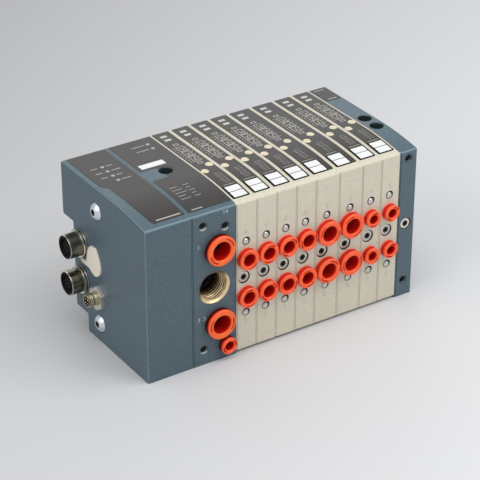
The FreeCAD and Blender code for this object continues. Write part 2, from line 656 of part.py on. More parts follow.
def control_board():
    """The control board with its chips, on posts, and the light guides under the status lights."""
    name = "control_board"
    start = "left_face + board_side"
    face = f"{start} + board_thickness"
    pieces = [
        block(name + "_sheet", start, "board_front", "board_bottom", "board_thickness",
              "board_rear - board_front", "board_top - board_bottom"),
        block(name + "_processor", face, "board_front + chip_margin", "board_bottom + 2 * coil_side",
              "chip_depth", "chip_side", "chip_side"),
        block(name + "_transformer", face, "board_front + header_length", "board_bottom + 2 * coil_side",
              "coil_depth", "coil_side", "coil_side"),
        block(name + "_header", face, "board_front + chip_margin", "board_top - 2 * header_width",
              "header_depth", "header_length", "header_width"),
        block(name + "_capacitor", face, "board_front + header_length", "board_bottom + chip_margin",
              "coil_depth", "chip_margin", "chip_margin"),
        block(name + "_stem", start, "guide_first + 3 * guide_step", "board_top", "board_thickness",
              "guide_width", "guide_bar_height - board_top"),
        block(name + "_bar", "guide_middle - guide_width / 2", "guide_first - guide_width / 2",
              "guide_bar_height", "guide_width", "3 * guide_step + 1.5 * guide_width + guide_width",
              "guide_bar_depth"),
    ]
    pieces += [rod(f"{name}_guide{index}", "z", "guide_middle", f"guide_first + {index} * guide_step",
                   "guide_bar_height", "guide_width", "row_height - guide_bar_height") for index in range(4)]
    return fuse(name, pieces)


def supply_housing():
    """The supply module: block with two large ports, a threaded exhaust port and a pilot port."""
    name = "supply_housing"
    ports = "supply_middle + supply_side"
    drain = "supply_middle + drain_side"
    right = "supply_left + supply_width"
    low = "port_middle - supply_half"
    pilot = "supply_middle + pilot_side"
    body = fuse(name + "_solid", [
        side_profile(name + "_block", "supply_left", "supply_width"),
        port_ring(name + "_upper", ports, "port_middle + supply_half", "supply"),
        port_ring(name + "_lower", ports, low, "supply"),
        port_ring(name + "_pilot", pilot, "pilot_height", "small"),
    ])
    tools = [
        block(name + "_seam", "supply_left", "0", "0", "seam_width", "seam_depth", "row_height"),
        rod(name + "_bush_bore", "y", "supply_middle", "0", "port_middle", "exhaust_bush", "exhaust_length"),
        rod(name + "_bush_channel", "y", "supply_middle", "exhaust_length", "port_middle",
            "2 * channel_large", "drain_back + channel_small - exhaust_length"),
        rod(name + "_bush_drop", "z", "supply_middle + drain_drop", "drain_back", low, "channel_large",
            "supply_half"),
        rod(name + "_supply_gallery", "x", ports, "supply_gallery", "gallery_high", "channel_large",
            f"{right} - ({ports})"),
        rod(name + "_drain", "y", drain, "supply_seat_end - channel_small / 2", low, "channel_large",
            "exhaust_gallery + channel_small - supply_seat_end + channel_small / 2"),
        rod(name + "_exhaust_gallery", "x", drain, "exhaust_gallery", low, "channel_large",
            f"{right} - ({drain})"),
    ]
    tools += port_bores(name + "_upper", ports, "port_middle + supply_half", "supply", "channel_large",
                        "supply_gallery + channel_small")
    tools += port_bores(name + "_lower", ports, low, "supply")
    tools += port_bores(name + "_pilot", pilot, "pilot_height", "small", "channel_small",
                        "outlet_upper")
    for spot, x, z in (("high", "left", "high"), ("mid", "right", "mid"), ("low", "left", "low")):
        tools += threaded_bores(f"{name}_tap_{spot}", f"supply_left + front_tap_{x}", f"front_tap_{z}")
    tools += fixing_bores(name + "_fixing", "supply_middle", "supply_fixing")
    reach = "joint_length - network_width + joint_recess"
    for side, sign in (("upper", "+"), ("lower", "-")):
        tools.append(rod(f"{name}_joint_{side}", "x", "supply_left", "joint_back",
                         f"port_middle {sign} joint_half", "joint_screw + 2 * screw_fit",
                         f"{reach} + screw_fit"))
    return cut(name, body, tools)


def exhaust_bush():
    """The brass bush of the threaded exhaust port."""
    name = "exhaust_bush"
    outside = rod(name + "_outside", "y", "supply_middle", "0", "port_middle", "exhaust_bush",
                  "exhaust_length")
    bore = rod(name + "_bore", "y", "supply_middle", "0", "port_middle", "exhaust_bore",
               "exhaust_length")
    mouth = cone(name + "_mouth", "y", "supply_middle", "0", "port_middle", "exhaust_thread",
                 "exhaust_bore", "(exhaust_thread - exhaust_bore) / 2")
    return cut(name, outside, [bore, mouth])


def end_plate():
    """The end plate with its clamp screw bore, fixing holes and tapped holes."""
    name = "end_plate"
    body = side_profile(name + "_block", "end_left", "end_width", "right")
    tools = [block(name + "_seam", "end_left", "0", "0", "seam_width", "seam_depth", "row_height")]
    tools += clamp_bores(name + "_clamp", "end_middle")
    tools += fixing_bores(name + "_fixing_front", "end_middle", "end_fixing")
    tools += fixing_bores(name + "_fixing_rear", "end_middle", "end_fixing + end_fixing_step")
    for side in ("high", "low"):
        tools += threaded_bores(f"{name}_tap_{side}", "end_middle", f"end_tap_{side}")
    return cut(name, body, tools)


def joint_screws():
    """The two button head screws that hold the network module to the supply module."""
    screws = []
    for side, sign in (("upper", "+"), ("lower", "-")):
        name = f"joint_screw_{side}"
        height = f"port_middle {sign} joint_half"
        seat = "left_face + joint_recess"
        base = rod(name + "_base", "x", "left_face", "joint_back", height, "joint_head", "joint_recess")
        top = dome(name + "_top", "left_face", "joint_back", height, "joint_head", "joint_dome",
                   "joint_proud")
        shank = rod(name + "_shank", "x", seat, "joint_back", height, "joint_screw", "joint_length")
        socket = hexagon(name + "_socket", "x", "left_face - joint_proud", "joint_back", height,
                         "joint_socket", "joint_socket_depth")
        screws.append(cut(name, fuse(name + "_solid", [base, top, shank]), [socket]))
    return group("joint_screws", screws)


def build():
    """Builds every sub-part and returns them, each under the name of its node."""
    parts = [network_housing(), data_sockets(), power_plug(), control_board(), joint_screws(),
             supply_housing(), exhaust_bush(), end_plate()]
    ports = "supply_middle + supply_side"
    parts.append(collet("collet_supply", ports, "port_middle + supply_half", "supply", SUPPLY_TURN))
    parts.append(collet("collet_exhaust", ports, "port_middle - supply_half", "supply", EXHAUST_TURN))
    parts.append(collet("collet_pilot", "supply_middle + pilot_side", "pilot_height", "small", PILOT_TURN))
    screws = []
    left = "valve_left"
    for number, (kind, tube) in enumerate(zip(VALVE_KINDS, VALVE_TUBES), 1):
        middle = f"{left} + {kind}_width / 2"
        parts.append(valve(number, left, kind, tube))
        parts.append(spool(number, middle))
        parts.append(collet(f"collet_{number}_upper", middle, "port_middle + port_half", tube,
                            UPPER_TURN * number))
        parts.append(collet(f"collet_{number}_lower", middle, "port_middle - port_half", tube,
                            LOWER_TURN * number))
        parts.append(button(f"override_{number}_front", f"{left} + button_near", "button_front"))
        parts.append(button(f"override_{number}_rear", f"{left} + button_far", "button_rear"))
        screws.append(clamp_screw(f"clamp_screw_{number}", f"{left} + clamp_side"))
        left = f"{left} + {kind}_width"
    screws.append(clamp_screw("clamp_screw_end", "end_middle"))
    parts.append(group("clamp_screws", screws))
    return parts


def check(parts):
    """Stops before anything is written if an object failed or a sub-part isn't sound."""
    for thing in document.Objects:
        if {"Invalid", "Error"} & set(thing.State):
            raise RuntimeError(f"{thing.Label} failed: {thing.State}")
    for part in parts:
        shape = part.Shape
        if shape.isNull() or not shape.isValid() or not shape.Solids:
            raise RuntimeError(f"{part.Label} isn't a sound solid")


def write(parts):
    os.makedirs("parts", exist_ok=True)
    for part in parts:
        part.Shape.exportStep(os.path.join("parts", part.Label + ".step"))


island = build()
document.recompute()
check(island)
write(island)
print(len(island), "sub-parts written")
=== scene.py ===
# %% [markdown]
# # A pneumatic valve island
#
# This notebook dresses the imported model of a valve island: a network module, a supply module, eight valve
# slices and an end plate, clamped together in one row. The solids come from CAD and are already in place, so
# the lesson is about what makes them look real: labels that follow a curved top, threads, inserts, small
# hardware that repeats along the row, and the finishes of paint, plastic, brass and steel.

# %% Tools
import math

import bmesh
import bpy
from mathutils import Matrix, Vector


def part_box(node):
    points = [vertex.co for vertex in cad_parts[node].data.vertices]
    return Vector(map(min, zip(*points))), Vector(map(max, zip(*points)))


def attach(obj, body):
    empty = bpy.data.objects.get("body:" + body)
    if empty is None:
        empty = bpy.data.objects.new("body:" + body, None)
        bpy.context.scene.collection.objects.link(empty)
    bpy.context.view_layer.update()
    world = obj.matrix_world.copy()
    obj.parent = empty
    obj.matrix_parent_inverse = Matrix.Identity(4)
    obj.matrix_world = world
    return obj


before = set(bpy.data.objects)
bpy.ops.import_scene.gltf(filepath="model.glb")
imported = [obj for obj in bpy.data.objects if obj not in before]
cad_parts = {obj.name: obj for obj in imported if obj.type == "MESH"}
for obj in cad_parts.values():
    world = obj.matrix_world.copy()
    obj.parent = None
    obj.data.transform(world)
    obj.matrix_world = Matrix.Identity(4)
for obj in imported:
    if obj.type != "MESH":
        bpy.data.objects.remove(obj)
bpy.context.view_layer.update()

# %% [markdown]
# ## A ruler for the island
#
# Every piece that we add is placed in millimetres from three faces that are easy to find on the real thing:
# the left face, the front face and the plane that it stands on. Writing one small function for this is safer
# than adding offsets by hand, because a change of the model then moves every piece with it.

# %% The ruler
MM = 0.001
MODULE_WIDTH = 30.5
PORT_HEIGHT = 51
supply_low, supply_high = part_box("supply_housing")
LEFT = supply_low[0] - MODULE_WIDTH * MM
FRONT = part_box("end_plate")[0][1]
TOP = supply_high[2]
STARTS = [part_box(f"valve_{n}")[0][0] for n in range(1, 9)] + [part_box("end_plate")[0][0]]
SLICES = [(start - LEFT) / MM for start in STARTS]
WIDTHS = [right - left for left, right in zip(SLICES, SLICES[1:])]
MIDDLES = [left + width / 2 for left, width in zip(SLICES, WIDTHS)]
SUPPLY_LEFT = SLICES[0] - MODULE_WIDTH
SUPPLY_MIDDLE = SLICES[0] - MODULE_WIDTH / 2
END_LEFT = SLICES[-1]
END_MIDDLE = END_LEFT + 6.5


def at(x, y, z):
    """A point in metres from millimetres: x from the left face, y from the front face, z from the base."""
    return Vector((LEFT + x * MM, FRONT + y * MM, z * MM))


print("slices start at", [round(x, 1) for x in SLICES])

# %% [markdown]
# The top isn't flat. From the front face it rises along a gentle arc and then runs level to the rear. Labels,
# light windows and printed marks all lie on it, so one function gives its height at any depth.

# %% The crowned top
CROWN = 38.0
RISE = 3.4
CROWN_RADIUS = (CROWN ** 2 + RISE ** 2) / (2 * RISE)


def crown(y):
    """Height of the top, in millimetres, at y millimetres behind the front face."""
    short = max(CROWN - y, 0)
    return TOP / MM - CROWN_RADIUS + math.sqrt(CROWN_RADIUS ** 2 - short ** 2)


print("top at the front", round(crown(0), 2), "and at the rear", round(crown(90), 2))

# %% [markdown]
# ## Sums on shader sockets
#
# A finish is a sum of patterns: grain, speckle, wear. Building it from single Math nodes by hand is slow to
# read. This class wraps a socket and overloads the operators, so `1 - grain * 0.3` adds the nodes for us.

# %% Sums on sockets
class Pattern:
    """A shader socket that can stand in a sum, as a number can."""

    def __init__(self, finish, socket):
        self.finish = finish
        self.socket = socket

    def combine(self, operation, first, second):
        return self.finish.node("ShaderNodeMath", {0: first, 1: second}, operation=operation)

    def __add__(self, other):
        return self.combine("ADD", self, other)

    def __sub__(self, other):
        return self.combine("SUBTRACT", self, other)

    def __rsub__(self, other):
        return self.combine("SUBTRACT", other, self)

    def __mul__(self, other):
        return self.combine("MULTIPLY", self, other)

    def __gt__(self, other):
        return self.combine("GREATER_THAN", self, other)

    def __lt__(self, other):
        return self.combine("LESS_THAN", self, other)

    def larger(self, other):
        return self.combine("MAXIMUM", self, other)

    __radd__ = __add__
    __rmul__ = __mul__


# %% [markdown]
# The material itself is a second class. It knows the shares that this object's finishes are mixed by: how deep
# a point lies, and which way the surface faces there.

# %% A finish in the making
class Finish:
    """A material in the making: its Principled shader and the nodes that feed it."""

    def __init__(self, name, colour, roughness=0.5, metallic=0.0, coat=0.0):
        self.material = bpy.data.materials.new(name)
        self.material.use_nodes = True
        self.tree = self.material.node_tree
        self.shader = self.tree.nodes["Principled BSDF"]
        for title, value in (("Base Color", (*colour, 1)), ("Roughness", roughness), ("Metallic", metallic),
                             ("Coat Weight", coat)):
            self.shader.inputs[title].default_value = value
        self.place = self.node("ShaderNodeTexCoord", output="Object")

    def node(self, kind, sockets=None, output=0, **settings):
        """Adds a node: its settings come first, then the values or links of its sockets."""
        made = self.tree.nodes.new(kind)
        for key, value in settings.items():
            setattr(made, key, value)
        for key, value in (sockets or {}).items():
            self.feed(made.inputs[key], value)
        return Pattern(self, made.outputs[output])

    def feed(self, socket, value):
        if isinstance(value, Pattern):
            self.tree.links.new(value.socket, socket)
        else:
            socket.default_value = value

    def noise(self, scale, detail=2.0, roughness=0.5, stretch=(1, 1, 1)):
        """Soft random variation, with its scale in lumps per metre."""
        where = self.node("ShaderNodeMapping", {"Vector": self.place, "Scale": stretch})
        return self.node("ShaderNodeTexNoise", {"Vector": where, "Scale": scale, "Detail": detail,
                                                "Roughness": roughness})

    def axis(self, vector, name):
        return self.node("ShaderNodeSeparateXYZ", {"Vector": vector}, name)

    def normal(self):
        return self.node("ShaderNodeNewGeometry", output="Normal")

    def share(self, value, start, end):
        """A share that goes from 0 to 1 while the value goes from start to end."""
        return self.node("ShaderNodeMapRange", {"Value": value, "From Min": start, "From Max": end})

    def depth(self, start, end):
        """A share that rises between two depths, in mm, behind the front face."""
        return self.share(self.axis(self.place, "Y"), FRONT + start * MM, FRONT + end * MM)

    def shadow(self, low, high):
        """A share of 1 where the surface doesn't look up, as on most of a hole's wall, else 0."""
        return self.share(self.axis(self.normal(), "Z"), high, low)

    def edge(self, flat, bent):
        """A share that rises to 1 on the rounding of an edge, where the surface faces between two sides."""
        sizes = self.node("ShaderNodeVectorMath", {0: self.normal()}, "Vector", operation="ABSOLUTE")
        x, y, z = (self.axis(sizes, name) for name in "XYZ")
        return self.share(x.larger(y).larger(z), flat, bent)

    def across_port(self, start, end):
        """A share that rises, in mm from the middle, towards the upper left of the large port."""
        way = Vector((-0.55, 0.0, 0.835))
        middle = way.dot(at(SUPPLY_MIDDLE, 0, PORT_HEIGHT))
        along = self.node("ShaderNodeVectorMath", {0: self.place, 1: way}, "Value", operation="DOT_PRODUCT")
        return self.share(along, middle + start * MM, middle + end * MM)

    def mix(self, first, second, share):
        """Two colours mixed by a share from 0 to 1."""
        return self.node("ShaderNodeMix", {0: share, 6: first, 7: second}, 2, data_type="RGBA")

    def colour(self, value):
        self.feed(self.shader.inputs["Base Color"], value)

    def rough(self, value):
        self.feed(self.shader.inputs["Roughness"], value)

    def relief(self, height, depth):
        """Bumps the surface by a pattern, with its depth in metres."""
        bump = self.node("ShaderNodeBump", {"Height": height, "Distance": depth, "Strength": 1.0})
        self.feed(self.shader.inputs["Normal"], bump)


def srgb(red, green, blue):
    """A colour as a picture editor shows it, from 0 to 255, in the linear values that shaders use."""
    parts = [part / 255 for part in (red, green, blue)]
    return tuple(part / 12.92 if part <= 0.04045 else ((part + 0.055) / 1.055) ** 2.4 for part in parts)


def shade(colour, factor=1.0):
    """A colour made darker or lighter, as a shader socket takes it."""
    return (*(min(part * factor, 1) for part in colour), 1)


def dress(material, *nodes):
    """Gives CAD nodes their material."""
    for name in nodes:
        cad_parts[name].data.materials[0] = material
    print(material.name, "is on", len(nodes), "nodes")


# %% [markdown]
# ## Housing paint
#
# The two modules and the end plate are cast aluminium with a fine powder coat. Powder melts into a skin that
# is never quite flat: at arm's length it looks like very fine orange peel. Fine noises make the relief and the
# speckle, and a broad one lets the tone drift. On a rounded edge the tone is lifted by the way that the surface
# faces: a painted highlight. The red ring round each port stands before the front face, so the depth chooses
# between the two colours; its dark tone is painted shade. In the same way, what stands out on the left is the
# cream cap.

# %% Housing paint
GREY_BLUE = srgb(74, 93, 102)
SHADED_RING_RED = (0.075, 0.007, 0.005)
CAP_TONE = srgb(232, 223, 206)
BEFORE_FACE = (-0.06, -0.04)
BESIDE_FACE = 0.05


def housing_paint():
    paint = Finish("housing_paint", GREY_BLUE, roughness=0.42)
    broad = paint.noise(28, 3.0)
    fine = paint.noise(2600, 2.0, 0.6)
    speckle = paint.noise(950, 1.0)
    tone = paint.mix(shade(GREY_BLUE, 0.80), shade(GREY_BLUE, 1.22), broad * 0.35 + speckle * 2.1 - 0.72)
    # Painted highlight: the tone is lighter on the rounded edges, by the way that the surface faces.
    tone = paint.mix(tone, shade(GREY_BLUE, 1.95), paint.edge(0.975, 0.89) * 0.85)
    # Painted shade: the ring before the front face is red darkened to near black.
    tone = paint.mix(shade(SHADED_RING_RED), tone, paint.depth(*BEFORE_FACE))
    beside = paint.axis(paint.place, "X") < LEFT - BESIDE_FACE * MM
    paint.colour(paint.mix(tone, shade(CAP_TONE), beside))
    paint.rough(0.34 + fine * 0.14)
    paint.relief(fine * 0.7 + paint.noise(900) * 0.3, 0.00006)
    return paint.material


dress(housing_paint(), "network_housing", "supply_housing", "end_plate")

# %% [markdown]
# ## Moulded valve bodies
#
# The slices are moulded in a beige plastic with glass fibre in it. The mould is spark-eroded, which leaves a
# fine even grain, and the fibre shows as faint pale specks. A slightly different tone in each slice would be
# wrong, since they come from one batch, but broad faint clouding is right. The rings round their ports are a
# brighter red than those of the supply module, which are darkened by painted shade.

# %% Beige plastic
BEIGE = srgb(206, 199, 180)
BRIGHT_RING = (0.90, 0.066, 0.024)


def beige_plastic():
    plastic = Finish("beige_plastic", BEIGE, roughness=0.55)
    clouds = plastic.noise(22, 3.0)
    grain = plastic.noise(3200, 2.0, 0.6)
    speckle = plastic.noise(1000, 1.0)
    fibre = plastic.noise(1500, 1.0, 0.5, stretch=(1, 1, 0.25)) > 0.66
    tone = plastic.mix(shade(BEIGE, 0.88), shade(BEIGE, 1.11), clouds * 0.4 + speckle * 1.2 - 0.3)
    body = plastic.mix(tone, shade(BEIGE, 1.16), fibre * 0.35)
    plastic.colour(plastic.mix(shade(BRIGHT_RING), body, plastic.depth(*BEFORE_FACE)))
    plastic.rough(0.50 + grain * 0.16)
    plastic.relief(grain, 0.00005)
    return plastic.material


dress(beige_plastic(), *[f"valve_{n}" for n in range(1, 9)])

# %% [markdown]
# ## Release collets
#
# The collets are acetal, a waxy bright plastic with a soft sheen. A plain saturated red turns into a flat
# sign, so a weak second tone and a little roughness variation keep the form readable. Behind the collar's
# front the colour turns a deep red with the depth: painted shade on the collar's side and in the bore. The
# two large collets of the supply module are a little more orange than the rest.

# %% Collet plastic
ORANGE = (1.0, 0.130, 0.020)
RED_ORANGE = (1.0, 0.105, 0.024)
PAINTED_SHADE_RED = (0.60, 0.006, 0.003)
LARGE = ("collet_supply", "collet_exhaust")
SMALL = [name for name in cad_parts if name.startswith("collet_") and name not in LARGE]


def collet_plastic(name, colour):
    plastic = Finish(name, colour, roughness=0.36)
    sheen = plastic.noise(300, 2.0)
    face = plastic.mix(shade(colour, 0.92), shade(colour, 1.08), sheen)
    # Painted shade: deep red on the collar's side and in the bore, by depth.
    plastic.colour(plastic.mix(face, shade(PAINTED_SHADE_RED), plastic.depth(-4.0, -2.7)))
    plastic.rough(0.30 + sheen * 0.14)
    plastic.relief(plastic.noise(1800), 0.00002)
    return plastic.material


dress(collet_plastic("valve_collet_plastic", RED_ORANGE), *SMALL)
dress(collet_plastic("port_collet_plastic", ORANGE), *LARGE)

# %% [markdown]
# ## Metals
#
# Turned brass in the large port, several zincs on the screws and pins, an olive nickel on the barrels of the
# round sockets with brighter rims, dark steel in the tapped holes and gold on the contacts: each is one colour
# that drifts in soft patches, with a fine grain in its relief. The steel's dark tone is painted shade. The
# port's colour darkens with its depth and towards its upper left, which is painted shade as well, and it is
# less metallic there.

# %% Metals
def metal(name, colour, roughness, mottle=0.10, scale=400, depth=0.00003, inside=None):
    """A metal with a mottled tone and a fine grain; inside is a port's painted shade: its dark colour and two
    depths.
    """
    finish = Finish(name, colour, roughness=roughness, metallic=1.0)
    patches = finish.noise(scale, 3.0)
    grain = finish.noise(scale * 9, 2.0)
    tone = finish.mix(shade(colour, 1 - mottle), shade(colour, 1 + mottle), patches)
    # Painted shade in the port: darker towards its upper left and with its depth, and less metallic there.
    if inside:
        dark, start, end = inside
        shaded = finish.across_port(-2.0, 3.0) * 0.92
        tone = finish.mix(tone, shade(dark, 0.5), shaded)
        tone = finish.mix(tone, shade(dark), finish.depth(start, end))
        finish.feed(finish.shader.inputs["Metallic"], 0.55 - shaded * 0.55)
    finish.colour(tone)
    finish.rough(roughness * 0.8 + grain * (roughness * 0.4))
    finish.relief(grain, depth)
    return finish.material


BRASS = metal("turned_brass", (0.92, 0.70, 0.40), 0.32, scale=260, inside=((0.08, 0.04, 0.015), 4.0, 13.0))
ZINC = metal("bright_zinc", (0.66, 0.67, 0.68), 0.34)
BLUE_ZINC = metal("blue_zinc", (0.78, 0.84, 0.87), 0.40, 0.08)
PIN_ZINC = metal("pin_zinc", (0.60, 0.60, 0.57), 0.36, 0.12, 500)
WARM_ZINC = metal("warm_zinc", (0.62, 0.595, 0.54), 0.40)
PALER_ZINC = metal("paler_zinc", (0.82, 0.79, 0.75), 0.50, 0.08)
PLUG_NICKEL = metal("plug_nickel", (0.72, 0.68, 0.60), 0.44, scale=260)
NICKEL = metal("nickel_plate", (0.74, 0.71, 0.63), 0.24, 0.06, 180, 0.00001)
OLIVE = metal("olive_nickel", (0.17, 0.165, 0.125), 0.26, 0.12, 220, 0.00002)
PALE_BRASS = metal("pale_brass", (0.50, 0.44, 0.30), 0.28, 0.10, 240, 0.00002)
DARK_BRASS = metal("dark_brass", (0.84, 0.65, 0.38), 0.40, scale=260, inside=((0.10, 0.06, 0.025), 0.9, 2.2))
# Painted shade: a dark metal for the threads deep in the tapped holes and the middles of the pins.
SHADE_STEEL = metal("shade_steel", (0.16, 0.16, 0.15), 0.40, 0.12, 300, 0.00002)
GOLD = metal("contact_gold", (0.90, 0.62, 0.25), 0.25, 0.05, 300, 0.00001)
dress(BRASS, "exhaust_bush")
dress(PALE_BRASS, "power_plug")
dress(OLIVE, "data_sockets")
dress(WARM_ZINC, "clamp_screws")
dress(BLUE_ZINC, "joint_screws")
dress(ZINC, *[f"spool_{n}" for n in range(1, 9)])

# %% [markdown]
# ## Dark and printed surfaces
#
# The label film is a dark grey-brown with a satin surface. It isn't black: the studio light lifts it, most
# at the rear where the top is level. Ink, paper and lenses are simple, but each still gets some grain, since
# a perfectly even colour is what gives a computer picture away.

# %% Films, inks and lenses
def grained(name, colour, roughness, spread=0.06, scale=900, depth=0.00002, coat=0.0):
    """A plain surface with a little grain."""
    finish = Finish(name, colour, roughness=roughness, coat=coat)
    grain = finish.noise(scale, 2.0)
    finish.colour(finish.mix(shade(colour, 1 - spread), shade(colour, 1 + spread), grain))
    finish.rough(roughness * 0.85 + grain * (roughness * 0.3))
    finish.relief(grain, depth)
    return finish.material


def bare_casting():
    """Bare metal in a countersink, with painted light where it looks up and painted shade elsewhere."""
    pale, dark = srgb(176, 182, 180), srgb(30, 29, 26)
    finish = Finish("bare_casting", srgb(170, 174, 172), roughness=0.5)
    grain = finish.noise(900, 2.0)
    tone = finish.mix(shade(pale, 0.94), shade(pale, 1.06), grain)
    # Painted light and shade: pale where the surface looks up, dark elsewhere.
    finish.colour(finish.mix(tone, shade(dark), finish.shadow(0.25, 0.55)))
    finish.relief(grain, 0.00002)
    return finish.material


BARE = bare_casting()
FILM = grained("label_film", srgb(44, 40, 36), 0.38, 0.10, 1400, 0.00003)
INK = grained("pale_ink", srgb(164, 160, 151), 0.5)
DIM_INK = grained("dim_ink", srgb(158, 158, 155), 0.5)
PAPER = grained("tag_paper", srgb(224, 224, 222), 0.6, 0.02)
TAG_GREY = grained("tag_grey", srgb(70, 70, 69), 0.6, 0.04)
BLACK = grained("black_plastic", srgb(6, 6, 7), 0.5, 0.12)
BLACK.node_tree.nodes["Principled BSDF"].inputs["Specular IOR Level"].default_value = 0.05
RECESS = grained("recess_shade", srgb(104, 98, 84), 0.8)
DARK = grained("dark_inside", srgb(7, 7, 7), 0.8, 0.2)
WELL_SHADE = grained("well_shade", srgb(30, 44, 46), 0.7, 0.1)
SCREW_SHADE = grained("screw_shade", srgb(58, 49, 43), 0.7, 0.1)
PORT_INK = grained("port_ink", srgb(168, 184, 196), 0.5)
NUMBERS = grained("number_plastic", BEIGE, 0.5, 0.05, 900, 0.00004)
CREAM = grained("button_plastic", srgb(222, 210, 182), 0.4)
CAP_CREAM = grained("cap_plastic", CAP_TONE, 0.42, 0.05, 700, 0.00004)
LENS = grained("lens_plastic", srgb(172, 169, 163), 0.25, 0.08, 1200, 0.00001, coat=0.3)
SOFT_GAP = grained("soft_gap", srgb(138, 131, 114), 0.8)
DEEP_GAP = grained("deep_gap", srgb(44, 47, 48), 0.8)
BOARD = grained("board_lacquer", (0.02, 0.16, 0.06), 0.3)
dress(CREAM, *[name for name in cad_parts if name.startswith("override_")])
dress(BOARD, "control_board")

# %% [markdown]
# ## From a mesh to a piece
#
# Each new piece ends the same way: its object stays at the origin, its mesh holds its place, its faces point
# outwards, and it rides on the island's base. One function does this, so none of it is forgotten.

# %% Finishing a piece
def add_object(name, data):
    """Puts a mesh, a curve, a lamp or a camera into the scene."""
    thing = bpy.data.objects.new(name, data)
    bpy.context.scene.collection.objects.link(thing)
    return thing


def mesh_of(name, bm):
    """Turns a bmesh into a mesh and frees it."""
    mesh = bpy.data.meshes.new(name)
    bm.to_mesh(mesh)
    bm.free()
    return mesh


def evaluated(thing):
    """The plain mesh that an object's modifiers, or its curve, make."""
    return bpy.data.meshes.new_from_object(thing.evaluated_get(bpy.context.evaluated_depsgraph_get()))


def smooth(mesh, angle):
    """Shades a mesh smooth, except at edges sharper than an angle in degrees."""
    mesh.shade_smooth()
    mesh.set_sharp_from_angle(angle=math.radians(angle))


def finish_piece(name, bm, material, body="base", soft=True):
    """Turns a bmesh into a piece that rides on a body."""
    bmesh.ops.remove_doubles(bm, verts=bm.verts, dist=1e-7)
    bmesh.ops.recalc_face_normals(bm, faces=bm.faces)
    mesh = mesh_of(name, bm)
    mesh.materials.append(material)
    piece = add_object(name, mesh)
    if soft:
        smooth(mesh, 35)
    if body:
        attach(piece, body)
    return piece


# %% [markdown]
# Most small pieces are turned parts: linings, rims, inserts, pins. A lathe spins their profiles round an axis.

# %% A lathe
def lathe(bm, profile, place, steps):
    """Spins a closed profile of (radius, height) in mm round an axis, and puts it in its place."""
    rings = []
    for step in range(steps):
        turn = 2 * math.pi * step / steps
        rings.append([bm.verts.new(place @ Vector((r * MM * math.cos(turn), r * MM * math.sin(turn), h * MM)))
                      for r, h in profile])
    for ring, following in zip(rings, rings[1:] + rings[:1]):
        for low in range(len(profile)):
            high = (low + 1) % len(profile)
            corners = [ring[low], following[low], following[high], ring[high]]
            if profile[low][0] == 0 and profile[high][0] == 0:
                continue
            if profile[low][0] == 0:
                corners.pop(1)
            elif profile[high][0] == 0:
                corners.pop(2)
            bm.faces.new(corners)


def turned(name, material, parts):
    """A piece of turned parts, each given by its profile, its place and its steps round the axis."""
    bm = bmesh.new()
    for profile, place, steps in parts:
        lathe(bm, profile, place, steps)
    finish_piece(name, bm, material)


def on_front(x, z, y=0):
    """A place whose own Z points out of the front face."""
    return Matrix.Translation(at(x, y, z)) @ Matrix.Rotation(math.radians(90), 4, "X")


def on_left(y, z, x=0):
    """A place whose own Z points out of the left face."""
    return Matrix.Translation(at(x, y, z)) @ Matrix.Rotation(math.radians(-90), 4, "Y")


def hexagon(half, room):
    """The radius of a hexagon's corners, from half its width across flats and some room."""
    return half / math.cos(math.radians(30)) + room


# %% [markdown]
# ## Films on the crowned top
#
# A label is a flat outline that is laid on a curved surface. We draw the outline flat, cut it into strips so
# that it can bend, give it a thickness and then lift every corner to the height of the top below it.

# %% Laying films
def film(name, outlines, bottom, top, material, body="base"):
    """Thin pieces on the crowned top, from outlines of (x, y) in mm; bottom and top are heights above it."""
    bm = bmesh.new()
    for outline in outlines:
        bm.faces.new([bm.verts.new((x, y, 0)) for x, y in outline])
    for cut in range(2, 98, 2):
        if any(min(y for x, y in o) < cut < max(y for x, y in o) for o in outlines):
            bmesh.ops.bisect_plane(bm, geom=bm.verts[:] + bm.edges[:] + bm.faces[:], dist=1e-6,
                                   plane_co=(0, cut, 0), plane_no=(0, 1, 0))
    raised = bmesh.ops.extrude_face_region(bm, geom=bm.faces[:])["geom"]
    upper = {vert for vert in raised if isinstance(vert, bmesh.types.BMVert)}
    for vert in bm.verts:
        x, y = vert.co.x, vert.co.y
        vert.co = at(x, y, crown(y) + (top if vert in upper else bottom))
    return finish_piece(name, bm, material, body)


def rounded(left, front, right, rear, radius=0.8, steps=4):
    """A rectangle with rounded corners."""
    left, front, right, rear = left + radius, front + radius, right - radius, rear - radius
    points = []
    for x, y, start in ((right, rear, 0), (left, rear, 90), (left, front, 180), (right, front, 270)):
        for step in range(steps + 1):
            turn = math.radians(start + 90 * step / steps)
            points.append((x + radius * math.cos(turn), y + radius * math.sin(turn)))
    return points


FILM_SUNK = -0.02
FILM_THICK = 0.16
network_label = [(3.1, 96), (3.1, 55.3), (4.7, 53.5), (6.2, 51.8), (6.6, 50.2), (6.8, 27.5), (7.9, 7.2),
                 (8.9, 4.7), (29.2, 4.7), (29.2, 96)]
supply_label = [(32, 96), (32, 59.5), (33.2, 58.4), (42.4, 58.4), (43.2, 57.6), (43.2, 45.6), (42.4, 44.8),
                (33.2, 44.8), (32, 43.6), (32, 4.6), (60.7, 4.6), (60.7, 96)]
valve_labels = [rounded(left + 1.15, 4.6, left + width - 1.15, 96.2) for left, width in zip(SLICES, WIDTHS)]
end_label = rounded(END_LEFT + 1.2, 77.5, END_LEFT + 11.8, 96)
print("films to lay:", 3 + len(valve_labels))

# %% [markdown]
# The labels have openings: round ones where the override buttons stand, and one over the fixing well of the
# supply module. A Boolean modifier cuts them, and its result is kept as the mesh, so the label that rides on
# the island is plain geometry.

# %% Cutting holes in films
BUTTONS = ((3.3, 38.6), (10.3, 45.0))
BUTTON_OPENING = 2.55
WELL = (SUPPLY_MIDDLE, 52.4)
WELL_OPENING = 4.9


